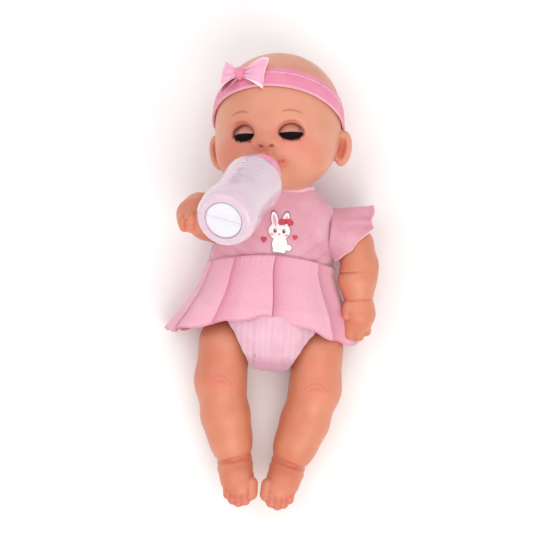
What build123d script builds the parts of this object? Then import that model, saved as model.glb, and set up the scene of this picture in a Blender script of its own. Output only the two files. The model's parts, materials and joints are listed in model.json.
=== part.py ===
"""Interactive baby doll, lying on its back with a feeding bottle at its mouth.

Units are millimetres. +X is the doll's left, +Y points to the crown, +Z points up out of the chest.
Each function below makes one sub-assembly as a dictionary of named solids. At the end the whole
doll is moved so that it rests on the plane Z = 0, centred on the origin.
"""
import os
from math import cos, radians, sin, sqrt

from build123d import *

# ------------------------------------------------------------------ driving dimensions
GAP = 0.4                      # between neighbours that move, and between layers of cloth
PIN_GAP = 0.06                 # radial gap of a pin in its hole
CLOTH = 1.2                    # thickness of a layer of clothing

# head, in its own frame: the neck ball is the origin, +Y is the crown, +Z is the face
NECK = (-2.0, 65.0, 44.0)
HEAD_TILT = 6.0                # the head leans to the doll's right
HEAD_YAW = -12.0               # and looks towards the bottle
SKULL_FORWARD = 4.4            # axis of the skull in front of the axis of the neck
VINYL = 2.6                    # wall of the rotocast vinyl
FLOOR_WALL = 5.0               # thick rim that the neck knob snaps into
SKULL = [(17, 4), (18, 9), (22.5, 16), (32, 23), (40, 30), (44.5, 39), (46.8, 50), (48, 61),
         (48, 71), (45.6, 82), (39.5, 93), (29.5, 101.5), (20, 105.8), (10, 108.2), (0, 109)]
JAW = (0, 30, 16)
JAW_R = 26.0
EAR = (46.5, 37, 1)
EAR_R = 12.0
EYE = (14.6, 43.5, 35.6)
EYE_R = 9.9
LID_R = 10.9
SOCKET_R = 12.6
EYE_TURN = 20.0                # the eye openings face outwards by this much
PIN_R = 1.0
MOUTH = (0, 22.0, 44.5)
BAND_LEAN = 30.0               # the headband drops behind the ears
BAND_WIDTH = 18.0
BOW = (-18.4, 88.4, 50.0)

# torso
BACK_Z = 4.0                   # flat back
SPLIT_Z = 31.0                 # where the front and back shells meet
SHELL = 2.2
# sections: y, half width, half depth, middle height
TORSO = [(60, 18, 15, 43), (55, 30, 21, 39.5), (47, 37, 26, 36), (32, 38.4, 30, 33), (12, 39, 32, 32),
         (-12, 39.5, 32.5, 32), (-32, 37, 31, 31.5), (-48, 28.5, 27, 30.5), (-59, 18, 20, 30), (-65, 9, 12, 29.5)]
SHOULDER = (36.6, 39.5, 33.5)
SHOULDER_LEAN = 0.0            # the shoulder axis runs straight across
SHOULDER_R = 14.0
HIP = (22.6, -41.5, 27.0)
HIP_LEAN = -24.0               # the hip axis leans towards the feet
HIP_R = 20.5
STEM_R = 6.5                   # stem of each limb's mushroom plug
ARM_KNOB_R, LEG_KNOB_R = 7.9, 9.0
NECK_R = 9.0
NECK_KNOB_R = 10.8             # the head's neck opening stretches over it

# electronics
CELL_R, CELL_L = 5.25, 44.5
BAY_X, BAY_Y0, BAY_Y1 = 25.0, -19.0, 17.0
BAY_Z0, BAY_Z1 = 10.6, 23.2
DOOR_X = 24.0
BUTTON_Y, BUTTON_R, BUTTON_TRAVEL = 30.0, 9.0, 2.5
SPEAKER_Y, SPEAKER_R = -10.0, 17.0
BOARD_Z = 37.0
SWITCH_Y = 30.0

# dress
WAIST_Y = 8.0
HEM_Y = -43.0

# bottle: it points out of the mouth along this direction
BOTTLE_DIR = (-0.27, -0.465, 0.843)
BOTTLE_START = 13.0            # from the lips to the face of the collar


MIDDLE_Y = -0.77               # half way between the crown and the toes


# ------------------------------------------------------------------ helpers
LOW = (Align.CENTER, Align.CENTER, Align.MIN)


def ball(centre, radius):
    return Pos(*centre) * Sphere(radius)


def slab(x0, x1, y0, y1, z0, z1):
    return Pos((x0 + x1) / 2, (y0 + y1) / 2, (z0 + z1) / 2) * Box(x1 - x0, y1 - y0, z1 - z0)


def disc(plane, radius, low, high):
    """A cylinder along a plane's normal, from one distance to another."""
    return plane.offset(low) * Cylinder(radius, high - low, align=LOW)


def limb(points, inset=0.0):
    """Balls joined by cones that touch them, as one chubby limb."""
    body = ball(points[0][0], points[0][1] - inset)
    for (c0, r0), (c1, r1) in zip(points, points[1:]):
        r0, r1 = r0 - inset, r1 - inset
        a, b = Vector(*c0), Vector(*c1)
        way = (b - a).normalized()
        lean = (r0 - r1) / (b - a).length
        flat = sqrt(1 - lean * lean) * 0.995
        start, end = a + way * (r0 * lean), b + way * (r1 * lean)
        plane = Plane(origin=start, z_dir=way)
        length = (end - start).length
        if abs(r0 - r1) < 0.01:
            body += plane * Cylinder(r0 * flat, length, align=LOW)
        else:
            body += plane * Cone(r0 * flat, r1 * flat, length, align=LOW)
        body += ball(c1, r1)
    return body


def mirrored(shape):
    return mirror(shape, about=Plane.YZ)


def joint_plane(centre, lean):
    """The face of a limb joint, with its normal pointing out of the torso."""
    return Plane(origin=centre, x_dir=(0, 0, 1), z_dir=(cos(radians(lean)), sin(radians(lean)), 0))


def placed(location, plane):
    """A plane carried along by a location."""
    return Plane(location * plane.location)


def spring(centre, radius, height, turns, wire):
    path = Helix(height / turns, height, radius)
    section = Plane(origin=path @ 0, z_dir=path % 0) * Circle(wire)
    return Pos(*centre) * sweep(section, path=path)


def wire(points, radius):
    """A lead along straight runs joined by tangent arcs."""
    bends = []
    for a, b, c in zip(points, points[1:], points[2:]):
        run_in, run_out = Vector(*b) - Vector(*a), Vector(*c) - Vector(*b)
        turn = radians(run_in.get_angle(run_out))
        bends.append(0.45 * min(run_in.length, run_out.length) / (sin(turn / 2) / cos(turn / 2)))
    path = FilletPolyline(*points, radius=bends)
    return sweep(Plane(origin=path @ 0, z_dir=path % 0) * Circle(radius), path=path)


SHOULDER_PLANE = joint_plane(SHOULDER, SHOULDER_LEAN)
HIP_PLANE = joint_plane(HIP, HIP_LEAN)
HAND_UP = Pos(*SHOULDER) * Rot(-90, 0, 0) * Pos(*[-v for v in SHOULDER])   # lifts a hanging arm to the front


# ------------------------------------------------------------------ head
HEAD_PLACE = Pos(*NECK) * Rot(0, 0, HEAD_TILT) * Rot(0, HEAD_YAW, 0)
BOTTLE_AXIS = Vector(*BOTTLE_DIR).normalized()
LIPS = tuple((HEAD_PLACE * Pos(*MOUTH)).position)
BOTTLE_PLANE = Plane(origin=LIPS, x_dir=(1, 0, 0.32), z_dir=tuple(BOTTLE_AXIS))


def skull_outline(grow=0.0):
    """Half of the skull's section, grown or shrunk by the thickness of a layer."""
    rim = [(SKULL[0][0] + grow, SKULL[0][1])]
    for before, here, after in zip(SKULL, SKULL[1:], SKULL[2:]):
        out = Vector(after[1] - before[1], before[0] - after[0]).normalized() * grow
        rim.append((here[0] + out.X, here[1] + out.Y))
    rim.append((0, SKULL[-1][1] + grow))
    side = Spline(rim)
    return make_face(side + Line(rim[-1], (0, rim[0][1])) + Line((0, rim[0][1]), rim[0]))


def skull(outline):
    return Pos(0, 0, SKULL_FORWARD) * revolve(outline, axis=Axis.Y)


def ear():
    """Left ear, in the head's frame."""
    disc_shape = Pos(EAR[0], EAR[1], EAR[2]) * Rot(0, 90, 0) * Cylinder(EAR_R, 12)
    disc_shape = fillet(disc_shape.edges().filter_by(GeomType.CIRCLE), 4.0)
    return disc_shape - ball((EAR[0] + 12, EAR[1] - 1, EAR[2] + 2), 8)


def eye_opening(side):
    way = (side * sin(radians(EYE_TURN)), 0, cos(radians(EYE_TURN)))
    face = Plane(origin=(side * EYE[0], EYE[1], EYE[2]), x_dir=(way[2], 0, -way[0]), z_dir=way)
    return extrude(face * Ellipse(8.2, 6.6), amount=22)


def head_parts():
    above_floor = slab(-60, 60, SKULL[0][1] + FLOOR_WALL, 120, -60, 70)
    neck_hole = Plane(origin=(0, 0, 0), z_dir=(0, 1, 0))
    outside, inside = skull_outline(), skull_outline(-VINYL)
    hollow = inside & Pos(0, 80) * Rectangle(200, 2 * (80 - SKULL[0][1] - FLOOR_WALL))
    core = skull(skull_outline(-VINYL / 2))
    shell = skull(outside - hollow)
    for bump in (ball(JAW, JAW_R), ear(), mirrored(ear()), ball((0, 36.2, 46.4), 4.6),
                 ball((4, 34.6, 45.6), 3), ball((-4, 34.6, 45.6), 3)):
        shell += bump - core
    shell -= ball(JAW, JAW_R - VINYL) & above_floor
    shell -= disc(neck_hole, NECK_R + PIN_GAP, -5, 20)
    throat = placed(HEAD_PLACE.inverse(), BOTTLE_PLANE)
    shell -= disc(throat, 5.6, -12, 12)
    cup = disc(throat, 5.6, -14, -1) - disc(throat, 4.4, -12.4, 0)
    head_placed = {"mouth_cup": cup}
    for side, name in ((1, "left"), (-1, "right")):
        centre = (side * EYE[0], EYE[1], EYE[2])
        shell -= ball(centre, SOCKET_R)
        shell -= eye_opening(side)
        socket = ball(centre, SOCKET_R) - ball(centre, LID_R + GAP)
        socket &= slab(centre[0] - 20, centre[0] + 20, 0, 80, centre[2] - 5.5, centre[2] + 3.5)
        socket -= Pos(*centre) * Rot(0, 90, 0) * Cylinder(PIN_R + PIN_GAP, 40)
        head_placed[f"{name}_eye_socket"] = socket
    head_placed["head_shell"] = shell.solids().sort_by(SortBy.VOLUME)[-1]
    return head_placed


def eye_parts(side, name):
    """Ball, lid, lashes and counterweight, which turn together on two pins."""
    x, y, z = side * EYE[0], EYE[1], EYE[2]
    hollow = slab(x - 6, x + 6, y - 6, y + 6, z - 14, z - 4)
    globe = ball((x, y, z), EYE_R) - ball((x, y, z), EYE_R - 1.3) - hollow
    for end in (1, -1):
        globe += Pos(x + end * (EYE_R + 0.7), y, z) * Rot(0, 90, 0) * Cylinder(PIN_R, 3.0)
    lid_box = slab(x - 9.2, x + 9.2, y - 0.4, y + 12, z - 3, z + 12)
    lid = (ball((x, y, z), LID_R) - ball((x, y, z), EYE_R)) & lid_box
    lash_box = slab(x - 6.6, x + 6.6, y - 4.6, y - 0.4, z, z + 14)
    lashes = (ball((x, y, z), LID_R - 0.1) - ball((x, y, z), EYE_R)) & lash_box
    arm = slab(x - 1.5, x + 1.5, y + 6.4, y + 8.4, z - 18, z - 5.6)
    weight = arm + Pos(x, y + 7.4, z - 19) * Rot(0, 90, 0) * Cylinder(4.2, 9)
    return {
        f"{name}_eyeball": globe,
        f"{name}_eyelid": lid,
        f"{name}_lashes": lashes,
        f"{name}_eye_weight": weight - ball((x, y, z), EYE_R),
    }


def headband_parts():
    lean = Plane(origin=(0, 63, SKULL_FORWARD), z_dir=(0, cos(radians(BAND_LEAN)), -sin(radians(BAND_LEAN))))
    zone = lean.offset(-BAND_WIDTH / 2) * Cylinder(80, BAND_WIDTH, align=LOW)
    band = (skull(skull_outline(CLOTH + 0.1) - skull_outline(0.1)) & zone).solids().sort_by(SortBy.VOLUME)[-1]
    seat = Plane(origin=BOW, x_dir=(1, 0.18, 0.36), z_dir=(-0.36, 0.15, 0.92))
    loops = None
    for side, length in ((1, 21.0), (-1, 17.0)):
        inner = seat * Pos(side * 2.6, 0, 0) * Rot(0, 90 * side, 0)
        shape = loft([inner * RectangleRounded(5, 9, 1.5), inner * Pos(0, 0, length) * RectangleRounded(9, 26, 3)])
        loops = shape if loops is None else loops + shape
    knot = seat * Box(5.2, 10, 8)
    knot = fillet(knot.edges().filter_by(lambda e: e.length > 9), 1.6)
    head_and_band = skull(skull_outline(CLOTH + 0.2))
    return {"headband": band, "bow_loops": loops - head_and_band - knot, "bow_knot": knot - head_and_band}


# ------------------------------------------------------------------ torso
def torso(grow=0.0, sections=TORSO, pull=0.0, back=BACK_Z):
    """The trunk's solid, grown by a layer's thickness, with its flat back moved to match."""
    faces = []
    for index, (y, half_width, half_depth, height) in enumerate(sections):
        end = (index == 0) - (index == len(sections) - 1)
        place = Plane(origin=(0, y - end * pull, height), x_dir=(1, 0, 0), z_dir=(0, 1, 0))
        faces.append(place * Ellipse(half_width + grow, half_depth + grow))
    return loft(faces) & slab(-90, 90, -90, 90, back - grow, 100)


def limb_cuts(extra, radius_extra, depth=0.0):
    """What the four joint faces take out of the trunk or of the clothes."""
    cuts = []
    for plane, radius in ((SHOULDER_PLANE, SHOULDER_R), (HIP_PLANE, HIP_R)):
        cut = disc(plane, radius + radius_extra, extra - depth, 70)
        cuts += [cut, mirrored(cut)]
    return cuts


def torso_parts():
    outer, inner = torso(), torso(-SHELL, pull=SHELL)
    for cut in limb_cuts(0, 1.4):
        outer -= cut
    for cut in limb_cuts(-SHELL, 1.4 + SHELL):
        inner -= cut
    shell = outer - inner
    for plane in (SHOULDER_PLANE, HIP_PLANE):
        hole = disc(plane, STEM_R + PIN_GAP, -12, 12)
        shell -= hole + mirrored(hole)
    neck_axis = placed(HEAD_PLACE, Plane(origin=(0, 0, 0), z_dir=(0, 1, 0)))
    shell -= disc(neck_axis, NECK_R + PIN_GAP, -16, 10)

    front = shell & slab(-90, 90, -90, 90, SPLIT_Z, 100)
    back = shell & slab(-90, 90, -90, 90, -5, SPLIT_Z)
    screws = None
    for x, y in ((24, 30), (25, -25.5)):
        for side in (1, -1):
            spot = Pos(side * x, y, 0)
            post = spot * Pos(0, 0, SPLIT_Z) * Cylinder(3, 40, align=LOW) & outer
            front += post - spot * Pos(0, 0, SPLIT_Z) * Cylinder(1.2, 12, align=LOW)
            boss = (spot * Pos(0, 0, -2) * Cylinder(3.6, SPLIT_Z + 2, align=LOW)) & outer
            head_well = spot * Pos(0, 0, -2) * Cylinder(2.8, 16, align=LOW)
            back = (back + boss) - head_well - spot * Cylinder(1.6, 40, align=LOW)
            screw = spot * Pos(0, 0, 11.6) * Cylinder(2.5, 2.4, align=LOW)
            screw += spot * Pos(0, 0, 14) * Cylinder(1.2, 26, align=LOW)
            screws = screw if screws is None else screws + screw
    front -= disc(Plane(origin=(0, BUTTON_Y, 40)), BUTTON_R + PIN_GAP, 0, 40)
    for ring, count in ((0, 1), (5.2, 6), (10.4, 12)):
        for place in PolarLocations(ring, count) if ring else [Location((0, 0, 0))]:
            front -= Pos(0, SPEAKER_Y, 40) * place * Cylinder(1.3, 40, align=LOW)

    door_zone = slab(-DOOR_X, DOOR_X, BAY_Y0, BAY_Y1, -5, 9.0)
    door = back & door_zone
    door = door.solids().sort_by(SortBy.VOLUME)[-1]
    back -= slab(-DOOR_X - GAP, DOOR_X + GAP, BAY_Y0 - GAP, BAY_Y1 + GAP, -5, 9.0)
    for x in (-12, 12):
        z = BACK_Z + SHELL + 0.1
        door += slab(x - 3, x + 3, BAY_Y1 - 3, BAY_Y1 + 3, z, z + 1.2) + slab(x - 3, x + 3, BAY_Y1 - 3, BAY_Y1, z - 1, z)
    well = Pos(0, BAY_Y0 + 5, 0)
    door -= well * Cylinder(1.5, 20)
    back -= slab(-4.4, 4.4, SWITCH_Y - 2.2, SWITCH_Y + 2.2, -5, 9)
    door_screw = well * Pos(0, 0, BACK_Z + 0.1) * Cylinder(1.44, SHELL - 0.2, align=LOW)
    door_screw -= slab(-1.6, 1.6, BAY_Y0 + 4.75, BAY_Y0 + 5.25, 0, BACK_Z + 0.7)

    floor_top = SKULL[0][1] + FLOOR_WALL + 0.1
    neck = disc(neck_axis, NECK_R, -14, floor_top)
    neck += disc(neck_axis, NECK_KNOB_R, floor_top, floor_top + 3)
    neck -= disc(neck_axis, NECK_R - 3, -20, 20)
    return {
        "torso_front_shell": front,
        "torso_back_shell": back,
        "shell_screws": screws,
        "battery_door": door,
        "door_screw": door_screw,
        "neck_post": neck,
    }


def electronics():
    tray = slab(-BAY_X, BAY_X, BAY_Y0, BAY_Y1, BAY_Z0, BAY_Z1)
    tray -= slab(-BAY_X + 1.2, BAY_X - 1.2, BAY_Y0 + 1.2, BAY_Y1 - 1.2, 0, BAY_Z1 - 1.2)
    cells, contacts = None, None
    for row, y in enumerate((-12.0, -1.0, 10.0)):
        centre = (0, y, BAY_Z1 - 1.4 - CELL_R)
        cell = Pos(*centre) * Rot(0, 90, 0) * Cylinder(CELL_R, CELL_L - 1)
        cell += Pos((1 if row % 2 else -1) * CELL_L / 2, y, centre[2]) * Rot(0, 90, 0) * Cylinder(1.9, 1.4)
        cells = cell if cells is None else cells + cell
        for side in (1, -1):
            plate = slab(BAY_X - 1.6, BAY_X - 1.2, y - 4.4, y + 4.4, BAY_Z1 - 11, BAY_Z1 - 2.5)
            plate = plate if side == 1 else mirrored(plate)
            contacts = plate if contacts is None else contacts + plate

    board = slab(-20, 20, -30, 34, BOARD_Z, BOARD_Z + 1.6)
    for x, y in ((17, 31), (-17, 31), (17, -27), (-17, -27)):
        board -= Pos(x, y, BOARD_Z) * Cylinder(1.3, 8)
    top = BOARD_Z + 1.6
    chips = slab(-6, 6, 2, 14, top, top + 1.6) + slab(-15, -9, -2, 4, top, top + 1.2)
    chips += slab(9, 14, 0, 3, top, top + 2.0) + slab(9, 14, 6, 9, top, top + 2.0)
    chips += Pos(-12, -10, top) * Cylinder(2.5, 6.4, align=LOW) + Pos(13, 23, top) * Cylinder(2.5, 5, align=LOW)
    switch = slab(-3, 3, BUTTON_Y - 3, BUTTON_Y + 3, top, top + 3.4)
    plunger = Pos(0, BUTTON_Y, top + 3.4) * Cylinder(1.7, 0.8, align=LOW)

    face_z = 56.0
    seat = Pos(0, SPEAKER_Y, 0)
    frame = seat * Pos(0, 0, face_z - 7) * Cone(10, SPEAKER_R, 7, align=LOW)
    frame += seat * Pos(0, 0, face_z - 11) * Cylinder(8, 4.5, align=LOW)
    cone = seat * Pos(0, 0, face_z - 4.6) * Cone(6, SPEAKER_R - 1.5, 4.6, align=LOW)
    dish = seat * Pos(0, 0, face_z - 3.4) * Cone(4.4, SPEAKER_R - 2.6, 4.6, align=LOW)
    bracket = seat * Pos(0, 0, face_z - 2) * (Cylinder(SPEAKER_R + 2.4, 3.0, align=LOW) - Cylinder(SPEAKER_R, 9))

    switch_box = slab(-6.5, 6.5, SWITCH_Y - 4, SWITCH_Y + 4, BACK_Z + SHELL, BACK_Z + SHELL + 6)
    switch_box -= slab(-4.4, 4.4, SWITCH_Y - 2.2, SWITCH_Y + 2.2, 0, BACK_Z + SHELL + 3.2)
    slider = slab(-3.6, 0.4, SWITCH_Y - 1.9, SWITCH_Y + 1.9, BACK_Z + 0.4, BACK_Z + SHELL + 2.9)

    leads = [((7, SPEAKER_Y - 7, 48), (14, SPEAKER_Y - 13, 47), (17, -26, 43), (12, -22, top + 0.8)),
             ((-7, SPEAKER_Y - 7, 48), (-14, SPEAKER_Y - 13, 47), (-17, -26, 43), (-12, -22, top + 0.8))]
    speaker_wires = wire(leads[0], 0.7) + wire(leads[1], 0.7)
    supply = [(18, 12, BAY_Z1 + 0.7), (21.5, 17, 27), (23.4, 19, 33), (23.4, 17, 40), (18, 14, 41), (14, 12, top + 0.75)]
    other = [(-x, y, z) for x, y, z in supply]
    battery_wires = wire(supply, 0.7) + wire(other, 0.7)
    return {
        "battery_box": tray,
        "batteries": cells,
        "battery_contacts": contacts,
        "circuit_board": board,
        "board_components": chips,
        "tact_switch": switch + plunger,
        "speaker_frame": frame - cone,
        "speaker_cone": cone - dish,
        "speaker_bracket": bracket,
        "switch_housing": switch_box,
        "switch_slider": slider,
        "speaker_wires": speaker_wires,
        "battery_wires": battery_wires,
    }


def button_parts():
    surface = 61.2
    cap = Pos(0, BUTTON_Y, surface - 5) * Cylinder(BUTTON_R, 5.6, align=LOW) & torso(-0.05)
    cap += Pos(0, BUTTON_Y, surface - 5.6) * Cylinder(BUTTON_R + 1.4, 1.6, align=LOW)
    stem_low = BOARD_Z + 1.6 + 4.2 + BUTTON_TRAVEL + 0.1
    cap += Pos(0, BUTTON_Y, stem_low) * Cylinder(2.4, surface - 5 - stem_low, align=LOW)
    low = BOARD_Z + 1.6
    coil = spring((0, BUTTON_Y, low + 1.1), 5.6, surface - 5.6 - low - 1.9, 5, 0.5)
    seat = Pos(0, BUTTON_Y, low) * (Cylinder(6.6, 0.6, align=LOW) - Cylinder(4.6, 3))
    return {"belly_button": cap, "button_spring": coil, "spring_seat": seat}


# ------------------------------------------------------------------ arms and legs
HANGING_ARM = [((50, 42.5, 34), 14.6), ((57, 33, 36), 14.3), ((62.5, 17.5, 40), 13.8), ((61.5, 6, 41), 14.4),
               ((63.6, -8, 40), 10.2), ((64.6, -19, 38), 12.4), ((63.6, -26, 35), 11)]
LEFT_DIGITS = [(((56, -14, 46), 4.6), ((55, -21, 49), 4)),
               (((60, -27, 41), 5), ((59.5, -35, 36), 4.6), ((60.5, -36, 31), 4)),
               (((66, -28, 40), 5), ((66, -36, 35), 4.6), ((66, -36, 29), 4)),
               (((71, -26, 37), 4.6), ((71.5, -32, 32), 4.2), ((70.5, -31, 28), 3.8))]
LEG = [((35.5, -50, 26.6), 20.8), ((36.8, -80, 25.4), 19.2), ((30.6, -107, 23.6), 18.2),
       ((25.4, -124, 22), 16), ((20.6, -141, 20.4), 13.4)]
FOOT = [((20, -146, 22), 13.6), ((17.5, -154, 28), 12.4), ((14.6, -160, 32), 11)]
TOES = [((6.1, -163.5, 37), 5.6), ((10.2, -168.6, 37), 4.9), ((15, -170.6, 36.6), 4.6), ((19.6, -169.4, 35.4), 4.3),
        ((23.6, -166, 34), 4.1)]


def plug(plane, knob_radius, depth):
    """The mushroom that a limb snaps in with: stem, and knob inside the torso."""
    stem = disc(plane, STEM_R, -SHELL - depth, GAP + 3)
    return stem + disc(plane, knob_radius, -SHELL - depth - 2.4, -SHELL - depth)


def placed_limb(chain, branches, plane, radius):
    """A hollow vinyl limb with a flat face at its joint."""
    outer, inner = limb(chain), limb(chain, VINYL)
    for branch in branches:
        outer += limb(branch)
    outer -= disc(plane, 90, -60, GAP)
    inner -= disc(plane, 90, -60, GAP + 3)
    rim = disc(plane, radius, GAP, GAP + 5)
    shell = (outer + (rim & disc(plane, radius, GAP, 3))) - inner
    return (shell - disc(plane, STEM_R, -5, GAP + 3)).solids().sort_by(SortBy.VOLUME)[-1]


def limbs():
    arm = placed_limb(HANGING_ARM, LEFT_DIGITS, SHOULDER_PLANE, 12)
    raised = HAND_UP * placed_limb(HANGING_ARM, LEFT_DIGITS, SHOULDER_PLANE, 12)
    leg = placed_limb(LEG + FOOT, [(toe, toe_base(toe)) for toe in TOES], HIP_PLANE, 16)
    arm_plug, leg_plug = plug(SHOULDER_PLANE, ARM_KNOB_R, 1.3), plug(HIP_PLANE, LEG_KNOB_R, 0.3)
    return {
        "left_arm": arm,
        "right_arm": mirrored(raised),
        "left_arm_plug": arm_plug,
        "right_arm_plug": mirrored(HAND_UP * arm_plug),
        "left_leg": leg,
        "right_leg": mirrored(leg),
        "left_leg_plug": leg_plug,
        "right_leg_plug": mirrored(leg_plug),
    }


def toe_base(toe):
    """The root of a toe, inside the ball of the foot."""
    (x, y, z), radius = toe
    return (x * 0.7 + 14.6 * 0.3, y * 0.35 - 159 * 0.65, z - 3), radius * 0.9


# ------------------------------------------------------------------ clothes
def layer(inner_gap, sections, y0, y1, pull=0.0):
    """A layer of cloth that follows the trunk from one height to another."""
    zone = slab(-120, 120, y0, y1, -20, 110)
    return (torso(inner_gap + CLOTH, sections, -pull) - torso(inner_gap, sections, pull)) & zone


COLLARED = [(70, 21, 20, 43), (62, 22.5, 20, 42.5)] + TORSO[1:]
# skirt sections: y, half width, half depth, middle height
SKIRT = [(WAIST_Y, 41.6, 34.2, 32.6), (-4, 46.5, 37, 30.6), (-22, 57, 45.4, 23), (HEM_Y, 67.6, 42, 14)]


def clothes():
    bodice = layer(GAP, COLLARED, WAIST_Y + 0.2, 66.6)
    for cut in limb_cuts(-6, 2.2):
        bodice -= cut
    back_gap = slab(-9, 9, -90, 66, -5, 12)
    door_gap = slab(-DOOR_X - 2, DOOR_X + 2, BAY_Y0 - 2, 20, -5, 12)
    under = torso(GAP)
    over_romper = torso(GAP + CLOTH + 0.3)
    bodice = (bodice - back_gap - door_gap - under).solids().sort_by(SortBy.VOLUME)[-1]
    romper = torso(GAP + CLOTH, pull=-GAP - CLOTH) - torso(GAP, pull=-GAP)
    romper &= slab(-90, 90, -90, WAIST_Y, -5, 110)
    for cut in limb_cuts(-6, 2.6):
        romper -= cut
    romper -= slab(-DOOR_X - 1, DOOR_X + 1, BAY_Y0 - 1, 20, -5, 12)
    neck_edge = HEAD_PLACE * Pos(0, 1.3, 0) * Rot(90, 0, 0)
    binding = neck_edge * Torus(21.6, 1.4)
    bodice -= neck_edge * Torus(21.6, 1.4 + GAP)
    faces_out, faces_in = [], []
    for y, half_width, half_depth, height in SKIRT:
        place = Plane(origin=(0, y, height), x_dir=(1, 0, 0), z_dir=(0, 1, 0))
        faces_out.append(place * Ellipse(half_width + CLOTH, half_depth + CLOTH))
        faces_in.append(place * Ellipse(half_width, half_depth))
    above_floor = slab(-90, 90, -90, 90, 0, 110)
    above_lining = slab(-90, 90, -90, 90, CLOTH, 110)
    skirt = (loft(faces_out) & above_floor) - (loft(faces_in) & above_lining)
    low_side = slab(-90, 90, -90, 90, -5, 14)
    skirt -= over_romper
    hand = limb(HANGING_ARM, -1.2)
    for digit in LEFT_DIGITS:
        hand += limb(digit, -1.2)
    print_area = disc(Plane(origin=(0, 38, 40)), 17, 0, 60)
    picture = (torso(GAP + CLOTH + 0.6, COLLARED) - torso(GAP + CLOTH + 0.1, COLLARED)) & print_area
    tab = slab(-11, 11, 56, 62, 12, 40) & (torso(GAP + 2 * CLOTH, COLLARED) - torso(GAP + CLOTH + 0.05, COLLARED))
    clothes_made = {
        "bodice": bodice,
        "romper_panties": romper.solids().sort_by(SortBy.VOLUME)[-1],
        "neck_binding": binding,
        "skirt_front": (skirt - low_side - hand).solids().sort_by(SortBy.VOLUME)[-1],
        "skirt_back": ((skirt & low_side) - door_gap).solids().sort_by(SortBy.VOLUME)[-1],
        "chest_print": picture.solids().sort_by(SortBy.VOLUME)[-1],
        "closure_tab": tab.solids().sort_by(SortBy.VOLUME)[-1],
    }
    clothes_made["left_flutter_sleeve"] = sleeve(False)
    clothes_made["right_flutter_sleeve"] = mirrored(sleeve(True))
    return clothes_made


def sleeve(raised):
    """A short flutter sleeve: a bell of cloth round the top of the arm, open below."""
    start = SHOULDER_PLANE.offset(4.8)
    end = SHOULDER_PLANE.offset(29)
    outer = loft([start * Circle(17.6), end * Circle(24)])
    inner = loft([start * Circle(17.6 - CLOTH), end * Circle(24 - CLOTH)])
    upper = slab(30, 90, 30, 90, 6, 90)
    bell = (outer - inner) & upper
    arm = limb(HANGING_ARM, -0.8)
    return (bell - (HAND_UP * arm if raised else arm)).solids().sort_by(SortBy.VOLUME)[-1]


# ------------------------------------------------------------------ bottle
def bottle_parts():
    """Bottle, base disc, screw collar and teat, along the direction out of the mouth."""
    start = BOTTLE_START

    def turn(points):
        """Revolve an outline of (radius, distance) round the bottle's axis."""
        flat = make_face(Polyline(*points, close=True))
        spun = revolve(flat, axis=Axis.Y)
        return BOTTLE_PLANE.location * Rot(90, 0, 0) * spun

    neck0, neck1 = start + 3.0, start + 12.0
    low, high = start + 14.0, start + 87.0
    body = [(10.2, neck0), (11.4, neck0), (11.4, neck1), (15.4, low - 1), (18.6, low + 1), (21.0, low + 4.4),
            (21.75, low + 8.6), (21.4, low + 15), (20.4, low + 26), (20.2, low + 36), (20.6, low + 46),
            (21.5, low + 56), (21.75, low + 62), (21.2, low + 67.5), (19.4, high - 1.4), (17.6, high),
            (14.0, high), (14.0, high - 1.6), (13.0, high - 1.6), (13.0, high - 4.0), (17.0, high - 4.0),
            (19.6, low + 62), (19.3, low + 56), (18.4, low + 46), (18.0, low + 36), (18.2, low + 26),
            (19.2, low + 15), (19.5, low + 8.6), (18.6, low + 5.4), (15.6, low + 2.4), (10.2, neck1 + 1.4)]
    disc_out = [(0, high - 3.4), (12.9, high - 3.4), (12.9, high - 1.0), (1.2, high - 1.0), (0, high - 1.0)]
    collar = [(11.5, start + 2.4), (11.5, neck1 - 0.6), (15.4, neck1 - 0.6), (15.4, start + 3), (14.6, start + 0.6),
              (13, start - 0.6), (7.2, start - 0.6), (7.2, start + 1.2), (9, start + 2.4)]
    teat = [(3.4, -4.4), (4.1, -3.0), (4.1, 1.5), (3.8, 4.6), (4.6, 8), (6.6, start - 2), (7.1, start - 0.6),
            (7.1, start + 1.3), (8.9, start + 2.5), (11.0, start + 2.5), (11.0, start + 2.9), (8, start + 2.9),
            (6, start + 1.6), (5.6, start - 1.6), (3.6, 7.6), (2.8, 4.4), (3.0, 0), (2.6, -3.0), (0, -3.4), (0, -5.2),
            (2, -5.1)]
    base = turn(disc_out)
    ridge_plane = BOTTLE_PLANE.offset(high - 1.0)
    base += ridge_plane * Pos(0, 0, 0.4) * Rot(0, 0, -12) * Box(24, 1.2, 0.8)
    return {"bottle_body": turn(body), "bottle_base": base, "bottle_collar": turn(collar), "bottle_teat": turn(teat)}


# ------------------------------------------------------------------ the whole doll
def main():
    in_head = head_parts() | headband_parts() | eye_parts(1, "left") | eye_parts(-1, "right")
    parts = {name: HEAD_PLACE * shape for name, shape in in_head.items()}
    parts |= torso_parts() | electronics() | button_parts() | limbs() | clothes() | bottle_parts()
    shift = Pos(0, -MIDDLE_Y, 0)
    print(f"moved by 0 {-MIDDLE_Y:.4f} 0")
    print("lips", [round(v, 4) for v in LIPS], "bottle", [round(v, 5) for v in tuple(BOTTLE_AXIS)])
    os.makedirs("parts", exist_ok=True)
    for name, shape in parts.items():
        export_step(shift * shape, f"parts/{name}.step")


main()
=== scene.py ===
# %% [markdown]
# # A baby doll with a feeding bottle
# The doll lies on its back on a pale table. Its head, arms and legs are rotocast soft vinyl, its clothes are
# knit, satin and tulle, and the bottle is blow-moulded plastic. The hard pieces come from the CAD frame and only
# get materials here. The vinyl skins and the clothes are made anew, in the same places, because they are the
# pieces whose look depends on soft form.

# %% Load the frame
import json
import math

import bmesh
import bpy
import numpy as np
from mathutils import Matrix, Vector


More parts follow.
